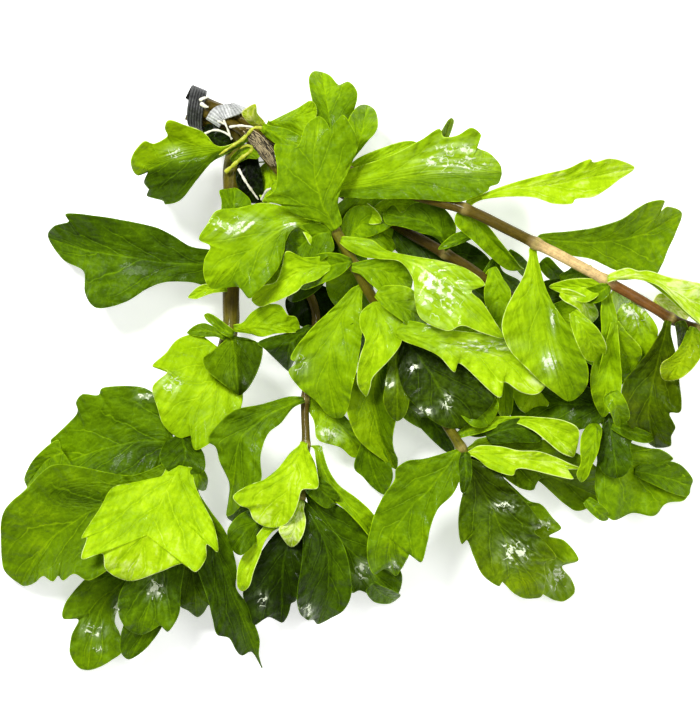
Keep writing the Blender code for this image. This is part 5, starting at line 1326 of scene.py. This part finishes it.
def leafMaterial():
    # the leaf's tone with its painted light and shade, moved by veins, rim, wrinkles and spots,
    # read off the scale of greens, with painted glints where it is wet; side veins run out from the
    # midrib on both sides
    look = leafPaint
    material, start, shader = newMaterial("wet_leaf", Coat_Roughness=0.06, Coat_IOR=1.40,
                                          IOR=1.42, Specular_IOR_Level=0.05)
    place, flow, paint = start.place(), start.carried("flow"), start.carried("paint")
    across = flow.part(0) * 2 - 1
    along = flow.part(1)
    wide = flow.part(2) * bladeForm["widest"]
    tone, brown, wetAndGlint = paint.part(0), paint.part(1), paint.part(2)
    out = across.maths("ABSOLUTE")
    side = across.maths("GREATER_THAN", 0.0)
    patches = [place.noise(size, detail) - 0.5 for size, detail, _ in look["patches"]]
    broad, lumps, middling, fine = patches
    # pleats: noise drawn out along the leaf; in the tone it is painted light and shade on the
    # pleats, and it also bumps the normal
    flat = {0: across * wide * 0.55 + middling * 0.8, 1: along * 5.0 + tone * 60.0, 2: side}
    pleats = start.node("ShaderNodeCombineXYZ", None, flat).noise(1000.0, 4.0) - 0.5
    # distance from the nearest side vein, and from the nearest twig of one
    track = (along * look["veins"] - out * 1.5 + side * 0.47 + lumps * out * 1.2
             + middling * 0.25 + 4.0)
    vein = track.fold()
    sideVein = ((1.0 - vein.between(0.0, look["veinWidth"])) * (1.0 - out.between(0.5, 0.92))
                * wide.between(1.0, 4.0))
    twig = (along * look["twigs"] + out * 3.4 + side * 0.3 + lumps * 2.4).fold()
    twigVein = ((1.0 - twig.between(0.0, look["veinWidth"])) * out.between(0.2, 0.45)
                * (1.0 - out.between(0.7, 0.95)) * 0.5)
    midVein = 1.0 - (out * wide).between(*look["midVein"])
    veins = sideVein.maths("MAXIMUM", midVein).maths("MAXIMUM", twigVein)
    net = place.node("ShaderNodeTexVoronoi", {"feature": "DISTANCE_TO_EDGE"},
                     {"Vector": place, "Scale": 1000.0 / look["netSize"]})
    netLines = 1.0 - net.between(0.0, look["netWidth"])
    # distance from the edge in mm: a thin pale rim, and a darker strip inside it
    inwards = (1.0 - out) * wide
    rim = 1.0 - inwards.between(*look["rimWidth"])
    inside = 1.0 - inwards.between(*look["insideWidth"])
    # veins are paler than the leaf, and most of all on dark ones
    veinStep = ((0.80 - tone) * 0.40).held(*look["veinStep"])
    # painted shade in the groove beside each side vein
    grooveShade = (vein.between(0.0, 0.12) * (1.0 - vein.between(0.16, 0.50))
              * (1.0 - out.between(0.6, 0.95)))
    shade = (tone + veins * veinStep + netLines * veinStep * look["net"]
             - grooveShade * look["grooveShade"])
    for patch, (*_, weight) in zip(patches, look["patches"]):
        shade = shade + patch * weight
    shade = (shade + pleats * look["pleats"] + rim * look["rim"]
             - (1.0 - rim) * inside * look["inside"])
    colour = shade.held().scale(look["scale"])
    colour = colour.shine((*look["brown"], 1.0), (brown * (0.8 + broad * 1.6)).held())
    # wet places: painted highlights mixed into the colour, as shards of glint where the noise is
    # high and thin lines where another is near its middle, and a painted sheen along the pleats
    film, rings, gaps = (place.noise(*look[label]) for label in ("film", "rings", "gaps"))
    ring = (rings - 0.5).maths("ABSOLUTE")
    line = (1.0 - ring.between(0.004, 0.013)) * gaps.between(0.48, 0.54)
    drawn = film * 0.65 + pleats * 0.45 + 0.175
    glint = ((drawn + wetAndGlint * 0.11).between(0.615, 0.655).maths("MAXIMUM", line)
             * wetAndGlint.between(0.22, 0.5))
    sheen = wetAndGlint * pleats.between(-0.05, 0.12) * look["sheen"]
    colour = colour.mix(glint * (1.45 - tone).held(0.45, 0.92) + sheen, (*look["glint"], 1.0))
    height = (lumps * 5.0 + pleats * 1.6 + middling * 1.6 + fine * 0.5 - veins * 0.25 + vein * 0.3
              + net.between(0.0, 0.35) * 0.18 + film * wetAndGlint * 3.0)
    feed(shader, {"Base Color": colour, "Coat Weight": (look["coat"] + wetAndGlint).held(),
                  "Roughness": (look["gloss"] + fine * 0.2 - wetAndGlint * 0.2).held(0.08, 0.7),
                  "Normal": height.lean(0.8, look["bump"])})
    return material


# Leaves as thin blades

# in mm: thickness in the middle and at the rim, mesh steps, the widest side that the paint can
# carry, the ruffle of the edge, and the foot that joins a stem nearer than "longestFoot";
# "crowding" is the power that spaces the columns, and "tipCut" how much of the last row is left off
bladeForm = {"thickness": 0.42, "rimThickness": 0.14, "rowStep": 0.7, "fewestRows": 12,
             "columns": 27, "crowding": 0.85, "widest": 20.0, "ruffle": 0.42,
             "ruffleLength": 7.5, "ruffleWidth": 6, "foot": 0.75, "longestFoot": 7.0,
             "footShare": -0.05, "tipCut": 1.04}


def bladeSheet(surface, rows, root):
    # smooth rows through the coarse ones, and across each row a height that grows with the
    # square of the distance from the midrib, plus a ruffle that grows towards the edge
    form = bladeForm
    one, middle, other = surface[:, 0], surface[:, 1], surface[:, 2]
    shares = rows
    if np.linalg.norm(root - middle[0]) < form["longestFoot"]:
        half = unit(one[0] - other[0]) * form["foot"]
        one = np.vstack((root + half, one))
        other = np.vstack((root - half, other))
        middle = np.vstack((root, middle))
        shares = np.concatenate(([form["footShare"]], rows))
    spans = [np.linalg.norm(np.diff(edge, axis=0), axis=1) for edge in (one, other)]
    reach = np.concatenate(([0], np.cumsum(np.maximum(*spans))))
    count = max(form["fewestRows"], round(reach[-1] / form["rowStep"]))
    steps = np.linspace(0, reach[-1], count)
    places = np.interp(steps, reach, np.arange(len(reach)))
    places[-1] = len(reach) - form["tipCut"]
    mid = curveAt(middle, places)[:, None]
    sides = (curveAt(one, places, other[-2]), curveAt(other, places, one[-2]))
    along = np.interp(places, np.arange(len(shares)), shares)
    across = np.linspace(-1, 1, form["columns"])
    across = np.sign(across) * np.abs(across) ** form["crowding"]
    edge = np.where((across < 0)[None, :, None], sides[0][:, None], sides[1][:, None])
    out = np.abs(across)[None, :, None]
    points = mid + (edge - mid) * np.concatenate((out, out, out**2), axis=2)
    wide = np.linalg.norm(edge[..., :2] - mid[..., :2], axis=-1)
    arc = steps[:, None] / form["ruffleLength"] * 2 * math.pi
    phase = np.where(across < 0, random.uniform(0, 6), random.uniform(0, 6))[None, :]
    wave = np.sin(arc + phase) + 0.6 * np.sin(arc * 1.7 + 2 * phase)
    free = np.minimum(wide / form["ruffleWidth"], 1) * across[None, :] ** 2
    points[..., 2] += form["ruffle"] * wave * free
    return points, along[:, None], across[None, :], wide


def bladeFaces(rows, columns):
    # top and bottom grids joined round their four borders
    top = gridFaces(rows, columns)
    below = top[:, ::-1] + rows * columns
    numbers = np.arange(rows * columns).reshape(rows, columns)
    border = np.concatenate((numbers[0], numbers[1:, -1], numbers[-1, -2::-1], numbers[-2:0:-1, 0]))
    ahead = np.roll(border, -1)
    wall = np.stack((ahead, border, border + rows * columns, ahead + rows * columns), axis=-1)
    return np.concatenate((top, below, wall)).tolist()


def buildBlade(leaf, surface, rows, root):
    # the sheet pushed apart along its normals, thinner towards the rim by the fifth power
    points, along, across, wide = bladeSheet(surface, rows, root)
    normals = np.cross(np.gradient(points, axis=0), np.gradient(points, axis=1))
    normals = unit(normals + (0, 0, 1e-9))
    normals *= np.sign(normals[..., 2:].mean())
    rim, middle = bladeForm["rimThickness"], bladeForm["thickness"]
    thick = rim + (middle - rim) * (1 - np.abs(across) ** 5)
    half = normals * thick[..., None] / 2
    tint = {**leafShadesAndTints["plain"], **leafShadesAndTints.get(leaf["name"], {})}
    # the tone gets the painted light and shade of the tints and the soft spots
    shade = leaf["tone"] + shadeOf(tint, along, across) + paintedLightAndShade(points)
    flow = pointColours(across * 0.5 + 0.5, along, wide / bladeForm["widest"], 1.0)
    paint = pointColours(np.clip(shade, 0, 1), tint["brown"], wetGlintMask(points), 1.0)
    both = np.stack((points + half, points - half))
    colours = {"flow": np.tile(flow, (2, 1)), "paint": np.tile(paint, (2, 1))}
    return meshPiece(leaf["name"] + "_blade", both, bladeFaces(*wide.shape), colours)


def buildLeaves(material):
    # every leaf in the heap's order; small ones lie on the heap without raising it
    lines = {name: stemLine(stem, laying["stemStep"]) for name, stem in stems.items()}
    radii = {name: stemRadii(stems[name], line) for name, line in lines.items()}
    heap = np.zeros(laying["shape"])
    placed = set()
    for entry in leaves:
        name = entry[0]
        if name in stems:
            markStem(heap, lines[name], radii[name])
            placed.add(name)
        for item in (entry, *smallLeaves.get(name, ())):
            if item[0] in stems:
                continue
            leaf = readLeaf(item)
            base, root = leafBase(leaf, lines, radii, leaf["stem"] in placed)
            surface, rows = leafRows(leaf, base)
            if item is entry:
                surface = layLeaf(surface, rows, heap, laying["gap"], leafForm["halfThickness"])
                markLeaf(heap, surface)
            else:
                surface = layLeaf(surface, rows, heap, laying["smallGap"], laying["smallThickness"])
            piece = buildBlade(leaf, surface, rows, root)
            finishPiece(piece, material, name if item is entry else None)


# Floor, light and camera

floorPaint = {"half": 3, "under": 0.0002, "grain": (40.0, 2.0), "glow": 0.5,
              "scale": ((0.3, (0.93, 0.93, 0.93)), (0.7, (0.96, 0.96, 0.96)))}

# lamps by place in metres, width and power, and the strength of the white sky
lamps = {"key": {"place": (-0.45, 0.60, 1.15), "size": 0.32, "power": 20.0},
         "overhead": {"place": (0.55, 0.15, 1.35), "size": 0.50, "power": 4.5},
         "fill": {"place": (0.9, -0.5, 0.8), "size": 0.7, "power": 3.0}}
sky = 0.35

# metres from the camera down to the heap's middle and from there to the table, the sensor's
# height in mm, and the sheet's in its own steps
view = {"height": 1.5, "middle": 0.02, "sensor": 36.0, "tall": 711}


def addObject(name, data, place):
    # an object in the scene at its place
    made = bpy.data.objects.new(name, data)
    made.location = place
    bpy.context.scene.collection.objects.link(made)
    return made


def buildFloor():
    # plain pale floor just under the bunch
    material, start, shader = newMaterial("pale_floor", Roughness=0.9, Specular_IOR_Level=0.1,
                                          Emission_Color=(1.0, 1.0, 1.0, 1.0),
                                          Emission_Strength=floorPaint["glow"])
    grain = start.place().noise(*floorPaint["grain"])
    feed(shader, {"Base Color": grain.scale(floorPaint["scale"])})
    half = floorPaint["half"]
    corners = [(-half, -half, 0), (half, -half, 0), (half, half, 0), (-half, half, 0)]
    mesh = bpy.data.meshes.new("floor")
    mesh.from_pydata(corners, [], [(0, 1, 2, 3)])
    mesh.materials.append(material)
    floor = addObject("floor", mesh, (0, 0, -floorPaint["under"]))


def buildLight():
    # square lamps aimed at the bunch, and an even white sky
    for name, lamp in lamps.items():
        data = bpy.data.lights.new(name, "AREA")
        data.size = lamp["size"]
        data.energy = lamp["power"]
        light = addObject(name, data, lamp["place"])
        light.rotation_euler = (-Vector(lamp["place"])).to_track_quat("-Z", "Y").to_euler()
    world = bpy.data.worlds.new("studio")
    world.use_nodes = True
    background = world.node_tree.nodes["Background"].inputs
    background["Color"].default_value = (1.0, 1.0, 1.0, 1.0)
    background["Strength"].default_value = sky
    bpy.context.scene.world = world
    bpy.context.scene.view_settings.view_transform = "Standard"


def buildCamera():
    # straight above the sheet's middle; lens = sensor times height over the sheet's height
    camera = bpy.data.cameras.new("camera")
    camera.sensor_fit = "VERTICAL"
    camera.sensor_height = view["sensor"]
    camera.lens = view["sensor"] * view["height"] / (view["tall"] * sheet["step"] * 0.001)
    camera.clip_end = 20.0
    middle = -np.array(sheet["centre"]) * 0.001
    place = (middle[0], middle[1], view["height"] + view["middle"])
    bpy.context.scene.camera = addObject("camera", camera, place)


print("stems")
stemSkin = stemMaterial()
for stemName in stems:
    buildStem(stemName, stemSkin)
print("strip")
buildStrip(leadMaterial())
print("roots")
buildOldRoots(rootMaterial("old_root_fibre"))
buildLooseRoots(rootMaterial("white_root_skin"), rootMaterial("yellow_strand_skin"))
print("leaves")
buildLeaves(leafMaterial())
print("floor, light and camera")
buildFloor()
buildLight()
buildCamera()
